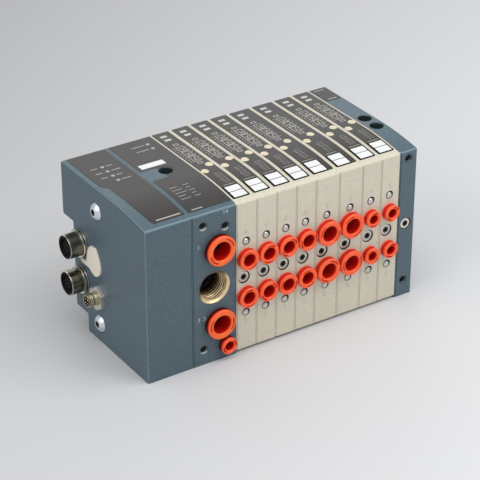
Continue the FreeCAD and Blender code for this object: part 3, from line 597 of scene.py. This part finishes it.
def cut_holes(piece, holes):
    """Cuts round holes of (x, y, radius) in mm down through a film."""
    bm = bmesh.new()
    for x, y, radius in holes:
        lathe(bm, [(0, -3), (radius, -3), (radius, 3), (0, 3)], Matrix.Translation(at(x, y, crown(y))), 40)
    bmesh.ops.recalc_face_normals(bm, faces=bm.faces)
    cutter = add_object("cutter", mesh_of("cutter", bm))
    boolean = piece.modifiers.new("Holes", "BOOLEAN")
    boolean.operation = "DIFFERENCE"
    boolean.solver = "EXACT"
    boolean.object = cutter
    piece.data = evaluated(piece)
    piece.modifiers.clear()
    bpy.data.objects.remove(cutter)
    print(piece.name, "has", len(piece.data.polygons), "faces")


def label(name, outlines):
    return film(name, outlines, FILM_SUNK, FILM_THICK, FILM)


button_holes = [(left + x, y, BUTTON_OPENING) for left in SLICES[:-1] for x, y in BUTTONS]
cut_holes(label("valve_labels", valve_labels), button_holes)
cut_holes(label("supply_label", [supply_label]), [(*WELL, WELL_OPENING)])
label("network_label", [network_label])
label("end_label", [end_label])

# %% [markdown]
# ## Growing what repeats
#
# Tags, windows, pins, rings and threads repeat along the row. Geometry Nodes suit them: one tree puts a copy
# at each of a set of points, and its named inputs hold the sizes. It ends by realizing the instances and
# setting the material, and the evaluated result is kept as a plain mesh.

# %% A tree with named inputs
class Recipe:
    """A geometry tree that takes points, named inputs and a material."""

    def __init__(self, name, **inputs):
        self.tree = bpy.data.node_groups.new(name, "GeometryNodeTree")
        for title, kind in {"Points": "Geometry", **inputs, "Material": "Material"}.items():
            self.tree.interface.new_socket(title, in_out="INPUT", socket_type="NodeSocket" + kind)
        self.tree.interface.new_socket("Geometry", in_out="OUTPUT", socket_type="NodeSocketGeometry")
        self.source = self.tree.nodes.new("NodeGroupInput")
        self.sink = self.tree.nodes.new("NodeGroupOutput")

    def __getitem__(self, title):
        return self.source.outputs[title]

    def node(self, kind, sockets, output=0, **settings):
        """Adds a node, feeds its sockets with values or with other sockets, and gives one of its outputs."""
        made = self.tree.nodes.new(kind)
        for key, value in settings.items():
            setattr(made, key, value)
        for key, value in sockets.items():
            if isinstance(value, bpy.types.NodeSocket):
                self.tree.links.new(value, made.inputs[key])
            else:
                made.inputs[key].default_value = value
        return made.outputs[output]

    def stamp(self, shape, **turn):
        """Puts the shape on every point, realizes the copies and sets the material."""
        place = {"Points": self["Points"], "Instance": shape, **turn}
        copies = self.node("GeometryNodeInstanceOnPoints", place)
        real = self.node("GeometryNodeRealizeInstances", {"Geometry": copies})
        painted = self.node("GeometryNodeSetMaterial", {"Geometry": real, "Material": self["Material"]})
        self.tree.links.new(painted, self.sink.inputs["Geometry"])


def grow(name, recipe, points, material, sizes=None, **values):
    """Runs a tree on points, with sizes in mm, and keeps the result as a plain piece that rides on the base."""
    values["Material"] = material
    values |= {title: size * MM for title, size in (sizes or {}).items()}
    seed = bpy.data.meshes.new(name + "_points")
    seed.from_pydata([tuple(point) for point in points], [], [])
    holder = add_object(name + "_points", seed)
    modifier = holder.modifiers.new("Grow", "NODES")
    modifier.node_group = recipe.tree
    for item in recipe.tree.interface.items_tree:
        if item.in_out == "INPUT" and item.name in values:
            modifier[item.identifier] = values[item.name]
    mesh = evaluated(holder)
    bpy.data.objects.remove(holder)
    mesh.name = name
    smooth(mesh, 40)
    piece = add_object(name, mesh)
    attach(piece, "base")
    print(name, "has", len(points), "copies and", len(mesh.polygons), "faces")


# %% [markdown]
# The simplest tree copies a finished model. The model is built once, where the first slice would start if
# the row began at the left face, and each point is the shift of one slice.

# %% Copying a model along the row
copying = Recipe("copies_along_the_row", Model="Object")
copying.stamp(copying.node("GeometryNodeObjectInfo", {"Object": copying["Model"]}, "Geometry"))


def repeat(name, model, shifts=SLICES[:-1]):
    """Copies a model by shifts in mm along the row, and removes the model."""
    grow(name, copying, [(shift * MM, 0, 0) for shift in shifts], model.data.materials[0], Model=model)
    bpy.data.objects.remove(model)


# %% [markdown]
# ## Tags, windows and printed marks
#
# At the front of each slice's label sits a holder with a white two-line tag. Towards the rear are two pale
# windows over the status lights and the printed diagram of the valve: three squares with flow lines. The
# printing is drawn as thin strokes of ink, a few hundredths of a millimetre proud of the film.

# %% Strokes of ink
def stroke(start, end, width):
    """The outline of a straight line of ink."""
    start, end = Vector(start), Vector(end)
    along = end - start
    side = Vector((-along.y, along.x)).normalized() * width / 2
    return [tuple(corner) for corner in (start - side, end - side, end + side, start + side)]


def level(left, right, y, width):
    """A line of ink straight across."""
    return stroke((left, y), (right, y), width)


def box_lines(left, front, right, rear, width):
    """The four lines of a printed square, meeting at its corners without lying on each other."""
    half = width / 2
    return ([level(left - half, right + half, y, width) for y in (front, rear)]
            + [stroke((x, front + half), (x, rear - half), width) for x in (left, right)])


ON_FILM = FILM_THICK - 0.01


def printed(name, outlines, low, high, material, body=None):
    """Thin pieces on the films, between two heights above them."""
    return film(name, outlines, ON_FILM + low, ON_FILM + high, material, body)


holder = printed("tag_holder", [rounded(1.8, 4.6, 12.2, 17.3, 0.5)], 0, 0.25, BLACK)
tag = printed("tag", [rounded(2.5, 5.3, 11.5, 10.65, 0.25), rounded(2.5, 11.15, 11.5, 16.6, 0.25)],
              0.22, 0.32, PAPER)
tag_rows = printed("tag_rows", [level(2.5, 11.5, 10.9, 0.56)], 0.24, 0.34, TAG_GREY)
repeat("tag_holders", holder)
repeat("tags", tag)
repeat("tag_rows", tag_rows)
windows = printed("windows", [rounded(4.2, 84.1, 8.6, 86.6, 0.3), rounded(4.2, 89.2, 8.6, 91.8, 0.3)],
                  0, 0.06, LENS)
repeat("light_windows", windows)

# %% The printed diagram
LINE = 0.56
diagram = []
for number in range(3):
    front = 52.6 + 7.4 * number
    diagram += box_lines(4.9, front, 9.5, front + 6.8, LINE)
    diagram.append(stroke((6.1, front + 0.9), (8.4, front + 5.9 - 1.2 * number), LINE))
    diagram.append(stroke((8.3, front + 0.9), (6.2, front + 3.2 + 1.2 * number), LINE))
for side in (48.9, 76.6):
    diagram += box_lines(5.6, side, 8.6, side + 2.0, LINE)
marks = [level(3.4, 11.0, 19.0, 0.5)]
for number in range(7):
    y = 21.8 + 1.9 * number
    marks.append(level(6.4 - 0.4 * (number % 3), 8.2, y, 0.36))
    marks.append(level(8.9, 10.2 + 0.3 * (number % 2), y, 0.36))
marks += [stroke((3.0, 52 + 3.0 * n), (3.0, 53.6 + 3.0 * n), 0.5) for n in range(8)]
marks += [level(10.3, 11.6, y, 0.45) for y in (53.6, 57.8, 61.2, 65.0, 68.6, 72.4)]
repeat("valve_diagrams", printed("diagram", diagram + marks, 0, 0.02, INK))

# %% [markdown]
# The two modules and the end plate have labels of their own. Theirs carry status lights with short printed
# marks, a white strip to write on and a small table. Where the original has names and numbers, ours has plain
# lines of ink or nothing.

# %% Marks of the two modules
LIGHTS = [57.0 + 6.35 * number for number in range(4)]
SUPPLY_LIGHTS = (87.3, 81.1)
TABLE = [31.4 - 3.4 * row for row in range(5)]
lights = [(16.4, y) for y in LIGHTS] + [(54.2, y) for y in SUPPLY_LIGHTS]
printed("lamp_windows", [rounded(x - 1.25, y - 1.25, x + 1.25, y + 1.25, 1.24) for x, y in lights],
        0, 0.05, DIM_INK, "base")
ticks = [level(8.4, 12.9, y, 0.8) for y in LIGHTS[1:]]
ticks += [level(18.9, 25.0 - 2.2 * (n % 2), y, 0.8) for n, y in enumerate(LIGHTS)]
ticks += [level(43.0, 51.4, y, 0.8) for y in SUPPLY_LIGHTS]
ticks += [level(35.2, 40.4 + 1.3 * (row % 3), y, 0.5) for row, y in enumerate(TABLE)]
ticks += [level(44.4, 48.4 - 0.9 * (row % 2), y, 0.5) for row, y in enumerate(TABLE)]
ticks.append(level(34.8, 42.0, 6.2, 0.9))
printed("module_marks", ticks, 0, 0.02, DIM_INK, "base")
printed("front_mark", [level(11.5, 27.5, 6.6, 1.1)], 0, 0.02, INK, "base")
printed("writing_strip", [rounded(34.4, 60.2, 50.9, 65.5, 0.3)], 0, 0.08, PAPER, "base")
printed("end_marks", [level(END_LEFT + 2.4, END_LEFT + 9.4, 93.4, 0.8),
                      level(END_LEFT + 3.4, END_LEFT + 9.8, 79.6, 0.9)], 0, 0.02, DIM_INK, "base")
print("laid", len(ticks), "printed marks")

# %% [markdown]
# ## Pins
#
# A silver pin above and below the ports of each slice holds its fittings. It ends near the face, a little off
# the middle of a wider recess. The pin is a turned part, so its tree builds a short cylinder with a chamfer.
# The same tree makes a dark seat under it, and a ring with a small section lines the recess in black: both
# are painted shade, as is the small dark disc on the pin's middle.

# %% Silver pins
disc = Recipe("pins", Radius="Float", Proud="Float", Chamfer="Float", Turn="Rotation")
stem = disc.node("GeometryNodeMeshCylinder", {
    "Vertices": 40, "Radius": disc["Radius"], "Depth": disc["Proud"]})
smaller = disc.node("ShaderNodeMath", {0: disc["Radius"], 1: disc["Chamfer"]}, operation="SUBTRACT")
bevel = disc.node("GeometryNodeMeshCone", {
    "Vertices": 40, "Radius Top": smaller, "Radius Bottom": disc["Radius"], "Depth": disc["Chamfer"]})
half = disc.node("ShaderNodeMath", {0: disc["Proud"], 1: 0.5}, operation="MULTIPLY")
rise = disc.node("ShaderNodeCombineXYZ", {"Z": half})
lifted = disc.node("GeometryNodeTransform", {"Geometry": bevel, "Translation": rise})
both = disc.tree.nodes.new("GeometryNodeJoinGeometry")
for part in (stem, lifted):
    disc.tree.links.new(part, both.inputs["Geometry"])
disc.stamp(both.outputs["Geometry"], Rotation=disc["Turn"])

FORWARD_TURN = (math.radians(90), 0, 0)
LEFTWARD_TURN = (0, math.radians(-90), 0)
PINS = [(x, PORT_HEIGHT + side * 24.1) for x in MIDDLES for side in (-1, 1)]
OFF_MIDDLE = 0.28


def discs(name, aside, y, material, **sizes):
    """A chamfered disc at each pin, moved aside by so much to the left and down."""
    grow(name, disc, [at(x - aside, y, z - aside) for x, z in PINS], material, sizes, Turn=FORWARD_TURN)


discs("silver_pins", OFF_MIDDLE, 0.10, PIN_ZINC, Radius=1.95, Proud=0.16, Chamfer=0.40)
# Painted shade: a small dark disc on the middle of each pin.
discs("pin_dimples", OFF_MIDDLE, -0.20, SHADE_STEEL, Radius=0.62, Proud=0.06, Chamfer=0.02)

# %% Dark seats of the pins
ring = Recipe("rings", Radius="Float", Width="Float", Height="Float", Turn="Rotation")
path = ring.node("GeometryNodeCurvePrimitiveCircle", {
    "Resolution": 40, "Radius": ring["Radius"]}, mode="RADIUS")
section = ring.node("GeometryNodeCurvePrimitiveQuadrilateral", {
    "Width": ring["Width"], "Height": ring["Height"]}, mode="RECTANGLE")
tube = ring.node("GeometryNodeCurveToMesh", {"Curve": path, "Profile Curve": section})
ring.stamp(tube, Rotation=ring["Turn"])
# Painted shade: a dark ring and a dark seat round each pin in its recess.
grow("pin_gaps", ring, [at(x, 0.58, z) for x, z in PINS], DARK,
     {"Radius": 2.48, "Width": 0.42, "Height": 0.80}, Turn=FORWARD_TURN)
discs("pin_seats", 0, 0.23, DARK, Radius=2.36, Proud=0.08, Chamfer=0.03)

# %% [markdown]
# ## Threads
#
# A thread is a ridge on a spiral. One tree draws it: a spiral curve with a small round section. It serves the
# large brass port, the small tapped holes and the plug, each with its own radius and pitch. A second radius
# lets the thread open out where the port has a chamfer at its mouth.

# %% Thread ridges
thread = Recipe("threads", Radius="Float", Mouth="Float", Length="Float", Turns="Float", Ridge="Float",
                Turn="Rotation")
spiral = thread.node("GeometryNodeCurveSpiral", {
    "Resolution": 40, "Rotations": thread["Turns"], "Start Radius": thread["Radius"],
    "End Radius": thread["Mouth"], "Height": thread["Length"]})
ridge = thread.node("GeometryNodeCurvePrimitiveCircle", {
    "Resolution": 6, "Radius": thread["Ridge"]}, mode="RADIUS")
wound = thread.node("GeometryNodeCurveToMesh", {"Curve": spiral, "Profile Curve": ridge, "Fill Caps": True})
thread.stamp(wound, Rotation=thread["Turn"])


def threads(name, points, turns, turn, material, **sizes):
    """A ridge from each point, wound so many times towards the side that the turn gives."""
    grow(name, thread, points, material, sizes, Turns=turns, Turn=turn)


# %% Threads and walls of the ports
TAPPED = [(SUPPLY_LEFT + 7.9, 93.4), (SUPPLY_LEFT + 23, 89.4), (SUPPLY_LEFT + 7.9, 10.4)]
END_TAPPED = [(END_MIDDLE, 96), (END_MIDDLE, 11)]
PLUG = (56.1, 30.8)
PORT = on_front(SUPPLY_MIDDLE, PORT_HEIGHT)
threads("port_thread", [at(SUPPLY_MIDDLE, 13.6, PORT_HEIGHT)], 6.8, FORWARD_TURN, BRASS,
        Radius=9.34, Mouth=9.34, Length=12.3, Ridge=0.55)
threads("port_mouth_thread", [at(SUPPLY_MIDDLE, 1.45, PORT_HEIGHT)], 1.0, FORWARD_TURN, BRASS,
        Radius=9.30, Mouth=10.15, Length=1.15, Ridge=0.24)
valleys = [(9.28, -13.9), (9.28, -1.12), (10.42, 0.04), (10.69, 0.04), (10.69, 0.07), (10.38, 0.07),
           (9.20, -1.08), (9.20, -13.9)]
turned("port_valleys", DARK_BRASS, [(valleys, PORT, 64)])
# Painted shade: a dark floor and wall deep in the port.
port_floor = [(5.95, -14.9), (9.26, -14.9), (9.26, -14.96), (5.98, -14.96), (5.98, -26.9), (5.95, -26.9)]
turned("port_floor", DARK, [(port_floor, PORT, 48)])
threads("tapped_threads", [at(x, 9.4, z) for x, z in TAPPED + END_TAPPED], 10.7, FORWARD_TURN, SHADE_STEEL,
        Radius=2.12, Mouth=2.12, Length=8.6, Ridge=0.22)
threads("plug_thread", [at(-2.9, *PLUG)], 5.0, LEFTWARD_TURN, PALE_BRASS,
        Radius=3.86, Mouth=3.86, Length=5.0, Ridge=0.32)

# %% [markdown]
# ## Lined holes
#
# A deep hole looks black, because light has to bounce many times to come back out, and each bounce costs some.
# With pale walls a renderer lets too much of it return. A thin dark lining a little below the mouth is painted
# shade that gives what the eye expects. The tapped holes of the supply module are countersunk through the
# paint, and bare metal shows there, pale where it looks up and dark elsewhere as painted light and shade. The
# mouths in the end plate are painted, and their dark tone is painted shade.

# %% Linings of the holes
def in_holes(profile, spots):
    return [(profile, on_front(*spot), 32) for spot in spots]


mouth = [(2.12, -0.68), (2.82, 0.03), (2.88, 0.03), (2.88, 0.0), (2.84, 0.0), (2.14, -0.70)]
turned("tapped_mouths", BARE, in_holes(mouth, TAPPED))
# Painted shade in the mouths of the end plate's holes.
turned("end_mouths", WELL_SHADE, in_holes(mouth, END_TAPPED))
# Painted shade: a dark lining down the wall of each tapped hole.
wall = [(2.05, -0.74), (2.09, -0.74), (2.09, -9.6), (2.05, -9.6)]
turned("tapped_linings", DARK, in_holes(wall, TAPPED + END_TAPPED))
wells = []
for x, y in (WELL, (END_MIDDLE, 33.0), (END_MIDDLE, 45.2)):
    top = crown(y - 4.5) - 0.5
    wells.append(([(4.47, 30), (4.47, top), (4.40, top), (4.40, 30)], Matrix.Translation(at(x, y, 0)), 48))
turned("well_linings", WELL_SHADE, wells)

# %% [markdown]
# The clamp screws sit in round recesses and have a socket for a hexagon key. Both are lined in warm tones of
# painted shade, and the end plate's screw has a paler face than the rest.

# %% Shades of the screws
CLAMPS = [on_front(x, PORT_HEIGHT) for x in [left + 5.6 for left in SLICES[:-1]] + [END_MIDDLE]]


def key_socket(corner, floor, mouth):
    """A thin lining of a hexagon socket from its floor to its mouth."""
    return [(0, floor), (corner, floor), (corner, mouth), (corner - 0.05, mouth), (corner - 0.05, floor + 0.12),
            (0, floor + 0.12)]


key_hole = key_socket(hexagon(1.5, -0.03), -2.67, -1.05)
rim_shade = [(1.60, -0.72), (2.05, -0.72), (2.05, -0.67), (1.60, -0.67)]
# Painted shade: dark linings in the key sockets, dark rings round them and a warm lining on the recess walls.
turned("clamp_shadows", SCREW_SHADE,
       [part for place in CLAMPS for part in ((key_hole, place, 6), (rim_shade, place, 24))])
recess = [(3.43, -4.6), (4.07, -4.6), (4.07, -0.1), (4.03, -0.1), (4.03, -2.0), (3.43, -2.0)]
turned("clamp_recesses", RECESS, [(recess, place, 40) for place in CLAMPS])
paler_face = [(2.06, -0.72), (3.10, -0.72), (3.10, -0.67), (3.04, -0.65), (2.12, -0.65), (2.06, -0.67)]
turned("end_screw_face", PALER_ZINC, [(paler_face, CLAMPS[-1], 40)])
joint_hole = key_socket(hexagon(2.0, -0.03), 0.33, 1.9)
turned("joint_shadows", DARK, [(joint_hole, on_left(55.6, z), 6) for z in (89.2, 12.8)])

# %% [markdown]
# ## Round sockets and their seal
#
# A data socket is a threaded barrel with a black insert. A seal ring lies on the rim and leaves only a thin
# bright edge, and the core with its contacts stands a little lower, behind a gap lined in painted shade, as
# its contact holes are. All of it is turned.

# %% Sockets
SOCKETS = [(75.6, 59.2), (75.6, 34.2)]
SOCKET_END = -11
seal = [(5.56, -0.1), (7.15, -0.1), (7.15, 0.16), (7.0, 0.32), (5.75, 0.32), (5.56, 0.15)]
core = [(4.2, -4.57), (4.2, -0.8), (4.0, -0.6), (0, -0.6), (0, -4.57)]
gap = [(5.46, -4.58), (5.46, -0.08), (5.38, -0.08), (5.38, -4.48), (4.25, -4.48), (4.25, -4.58)]
contact = [(0.0, -0.62), (0.48, -0.62), (0.48, -0.57), (0.0, -0.57)]
bright = [(7.16, -0.05), (7.62, -0.05), (7.62, -0.6), (7.66, -0.6), (7.66, -0.12), (7.5, 0.05), (7.16, 0.05)]
inserts, linings, rims = [], [], []
for y, z in SOCKETS:
    mouth = on_left(y, z, SOCKET_END)
    inserts += [(seal, mouth, 48), (core, mouth, 40)]
    linings.append((gap, mouth, 40))
    for index in range(5):
        turn = math.radians(45 + 90 * index)
        reach = 2.2 if index < 4 else 0
        spot = (y + reach * math.cos(turn), z + reach * math.sin(turn))
        linings.append((contact, on_left(*spot, SOCKET_END), 16))
    rims.append((bright, mouth, 64))
    for rim in (1.1, 2.9):
        collar = [(7.64, rim - 0.3), (8.78, rim - 0.3), (8.78, rim - 0.8), (8.84, rim - 0.8),
                  (8.84, rim - 0.15), (8.66, rim + 0.03), (7.64, rim + 0.03)]
        rims.append((collar, on_left(y, z), 64))
turned("socket_inserts", BLACK, inserts)
# Painted shade: dark linings in the gap round each core and on its contact holes.
turned("socket_linings", DARK, linings)
turned("socket_rims", NICKEL, rims)
print("rims and inserts are in place")

# %% [markdown]
# The power plug is smaller and the other way about: its contacts are pins that stand in a black cup. The
# hexagon behind it is brighter than its thread.

# %% Power plug
PLUG_END = -8.6
PIN_OFF = 1.202
cup = [(0, -4.97), (3.17, -4.97), (3.17, -0.3), (3.05, -0.3), (3.05, -4.85), (0, -4.85)]
turned("plug_lining", DARK, [(cup, on_left(*PLUG, PLUG_END), 40)])
needle = [(0, -4.9), (0.44, -4.9), (0.44, -0.12), (0.28, 0.04), (0, 0.04)]
turned("plug_pins", GOLD, [
    (needle, on_left(PLUG[0] + across * PIN_OFF, PLUG[1] + up * PIN_OFF, PLUG_END), 16)
    for across in (-1, 1) for up in (-1, 1)])
corner = hexagon(7.0, 0.03)
nut = [(4.05, 2.55), (corner - 0.02, 2.55), (corner - 0.02, 0.02), (corner + 0.03, 0.02), (corner + 0.03, 2.35),
       (corner - 0.35, 2.64), (4.05, 2.64)]
turned("plug_hexagon", PLUG_NICKEL, [(nut, on_left(*PLUG), 6)])

# %% [markdown]
# The blanking cap on the left face is a flat cream moulding: a disc with a grip above it and a strap that
# holds it when it is pulled off. Its outline is drawn, rounded by a subdivision of its corners, and
# given a thickness with an eased edge.

# %% Blanking cap
def softened(points, rounds=3):
    """A closed outline with its corners cut again and again, which rounds them."""
    for _ in range(rounds):
        points = [(near[0] * share + far[0] * (1 - share), near[1] * share + far[1] * (1 - share))
                  for near, far in zip(points, points[1:] + points[:1]) for share in (0.75, 0.25)]
    return points


def bridge(bm, rows):
    """Closes a body between rows of corners, each row a ring of the same number."""
    for row, following in zip(rows, rows[1:]):
        for index in range(len(row)):
            after = (index + 1) % len(row)
            bm.faces.new([row[index], row[after], following[after], following[index]])
    bm.faces.new(rows[0])
    bm.faces.new(rows[-1])


def plate(bm, outline, high, ease):
    """A flat piece that stands out from the left face, with an eased outer edge."""
    middle = [sum(spot[axis] for spot in outline) / len(outline) for axis in (0, 1)]
    rows = []
    for distance, inset in ((0, 0), (high - ease, 0), (high, ease)):
        row = []
        for y, z in outline:
            away = Vector((y - middle[0], z - middle[1]))
            scale = 1 - inset / away.length
            row.append(bm.verts.new(at(-distance, middle[0] + away.x * scale, middle[1] + away.y * scale)))
        rows.append(row)
    bridge(bm, rows)


CAP = [(67.9, 53.5), (66.2, 59.0), (65.2, 60.9), (58.2, 64.2), (56.4, 63.0), (51.6, 55.6), (51.7, 48.6),
       (56.6, 44.4), (60.5, 44.8), (67.6, 48.8)]
STRAP = [(62, 47.0), (75.4, 47.0), (75.4, 50.3), (62, 50.3)]
bm = bmesh.new()
plate(bm, softened(CAP, 2), 1.25, 0.35)
plate(bm, softened(STRAP), 1.16, 0.25)
finish_piece("blanking_cap", bm, CAP_CREAM)
print("the cap is in place")

# %% [markdown]
# ## Seams
#
# Between the slices lies a thin gasket, which shows as a soft line on the front and the rear, a thinner one on
# the top, and the joints beside the castings are darker. Both follow the outline of the housings, so we draw
# that outline once as a narrow ribbon and copy it to every seam.

# %% Gasket lines
OUTER_EDGE = 1.6
PROUD = 0.02


def eased_corner(y, z, start):
    """Points on the rounding of an outer edge, turned a quarter clockwise from an angle."""
    turns = [math.radians(start - angle) for angle in (10, 35, 60, 80)]
    return [(y + OUTER_EDGE * math.cos(turn), z + OUTER_EDGE * math.sin(turn)) for turn in turns]


def ribbon(name, width, material):
    """A narrow band that runs up the front, back over the top and down the stepped rear."""
    front = [(0.0, 2.2), (0.0, 99.0), *eased_corner(1.6, 99.7, 180)]
    top = [(y, crown(y)) for y in range(3, 96, 3)]
    rear = [*eased_corner(95.9, 103.0, 90), (97.5, 101), (97.5, 73), *eased_corner(95.9, 70.8, 0), (94, 69.2),
            (86, 69.2), (85, 68.2), (85, 15), *eased_corner(83.4, 13.2, 0), (81, 11.6), (72, 11.6),
            (71, 10.6), (71, 2.5)]
    path = front + top + rear
    bm = bmesh.new()
    rows = []
    for index, (y, z) in enumerate(path):
        half = width / 4 if len(front) <= index < len(front + top) else width / 2
        before, after = path[max(index - 1, 0)], path[min(index + 1, len(path) - 1)]
        tangent = Vector((after[0] - before[0], after[1] - before[1])).normalized()
        out = Vector((-tangent.y, tangent.x)) * PROUD
        inner, outer = (y - 8 * out.x, z - 8 * out.y), (y + out.x, z + out.y)
        rows.append([bm.verts.new(at(side * half, *spot)) for spot, side in
                     ((inner, -1), (outer, -1), (outer, 1), (inner, 1))])
    bridge(bm, rows)
    return finish_piece(name, bm, material, None)


repeat("gasket_lines", ribbon("gasket", 0.20, SOFT_GAP), SLICES[1:-1])
repeat("module_lines", ribbon("module_gap", 0.24, DEEP_GAP), [SUPPLY_LEFT, SLICES[0], END_LEFT])

# %% [markdown]
# ## Moulded port numbers
#
# The ports of a valve are numbered in the same way on every make: 4 and 2 are the outlets, 1 is the supply and
# 3 and 5 are the exhausts. On the slices the numbers are moulded, so they are raised a little and have the
# body's own colour. On the supply module they are printed in a pale blue-grey.

# %% Port numbers
def number_model(text, x, z, size, depth, material, body=None):
    """A raised number on the front face, centred at x and z in mm."""
    curve = bpy.data.curves.new("number", "FONT")
    curve.body = text
    curve.size = size * MM
    curve.extrude = depth * MM / 2
    curve.align_x = curve.align_y = "CENTER"
    curve.resolution_u = 3
    holder = add_object("number", curve)
    mesh = evaluated(holder)
    bpy.data.objects.remove(holder)
    bm = bmesh.new()
    bm.from_mesh(mesh)
    bm.transform(on_front(x, z, -depth / 2 + 0.02))
    return finish_piece("number_" + text, bm, material, body, soft=False)


for text, z in (("4", 81.8), ("2", 20.6)):
    repeat("moulded_" + text, number_model(text, 0, z, 5.0, 0.30, NUMBERS), MIDDLES)
for text, x, z in (("1", 35.2, 80.4), ("3", 35.2, 31.6), ("5", 39.0, 31.6), ("14", 53.6, 98.6)):
    number_model(text, x, z, 3.8, 0.06, PORT_INK, "base")

# %% [markdown]
# ## Light, floor and camera
#
# The photograph was taken in soft studio light on a seamless pale grey. Large lamps above the front right,
# overhead and at the left, weak ones low in front and behind, and an even sky give the same soft modelling:
# the tops are the brightest and every edge catches some light. The floor is one big sheet whose tone rises
# slowly towards the near right, which is painted light.

# %% Floor and sky
FLOOR_TONES = (0.40, 0.88)
TONE_HERE, TONE_SLOPE = 0.37, 0.65


def backdrop():
    paper = Finish("studio_paper", (0.62, 0.62, 0.62), roughness=0.9)
    across, back = (paper.axis(paper.place, name) for name in "XY")
    # Painted light: the floor's tone rises towards the near right.
    ramp = paper.node("ShaderNodeValToRGB", {"Fac": TONE_HERE + across * TONE_SLOPE - back * TONE_SLOPE})
    for element, tone in zip(ramp.socket.node.color_ramp.elements, FLOOR_TONES):
        element.color = (tone, tone, tone, 1)
    paper.colour(ramp)
    return paper.material


bm = bmesh.new()
bmesh.ops.create_grid(bm, x_segments=1, y_segments=1, size=6)
floor = add_object("studio_floor", mesh_of("studio_floor", bm))
floor.data.materials.append(backdrop())

world = bpy.data.worlds.new("studio_sky")
world.use_nodes = True
sky = world.node_tree.nodes["Background"]
sky.inputs["Color"].default_value = (0.92, 0.95, 1.0, 1)
sky.inputs["Strength"].default_value = 0.56
bpy.context.scene.world = world

# %% Lamps
AIM = Vector((0, 0, 0.05))
LAMPS = (("key_lamp", (0.64, -0.66, 1.15), 0.9, 7),
         ("fill_lamp", (0.10, -1.60, 0.50), 0.8, 1.4),
         ("top_lamp", (-0.10, -0.35, 1.58), 1.2, 8.5),
         ("side_lamp", (-1.25, -0.10, 0.95), 0.9, 7),
         ("back_lamp", (0.72, 1.25, 0.66), 0.8, 2.0))
for name, place, size, power in LAMPS:
    light = bpy.data.lights.new(name, "AREA")
    light.size = size
    light.energy = power
    lamp = add_object(name, light)
    lamp.location = place
    lamp.rotation_euler = (AIM - Vector(place)).to_track_quat("-Z", "Y").to_euler()
print("lit by", len(LAMPS), "soft lamps")

# %% Camera
AZIMUTH, ELEVATION, ROLL = math.radians(-33.27), math.radians(29.43), math.radians(0.08)
DISTANCE = 1.18358
FOCAL_PIXELS, PICTURE_PIXELS, SENSOR = 1937.05, 480, 36
target = at(93.17, 45.0, 46.59)
back = Vector((math.sin(AZIMUTH) * math.cos(ELEVATION), -math.cos(AZIMUTH) * math.cos(ELEVATION),
               math.sin(ELEVATION)))
camera_data = bpy.data.cameras.new("photo_camera")
camera_data.sensor_width = SENSOR
camera_data.lens = FOCAL_PIXELS * SENSOR / PICTURE_PIXELS
camera = add_object("photo_camera", camera_data)
camera.location = target + back * DISTANCE
camera.rotation_euler = (back.to_track_quat("Z", "Y").to_matrix() @ Matrix.Rotation(ROLL, 3, "Z")).to_euler()
bpy.context.scene.camera = camera
bpy.context.scene.view_settings.view_transform = "Standard"
print("camera at", [round(value, 4) for value in camera.location])
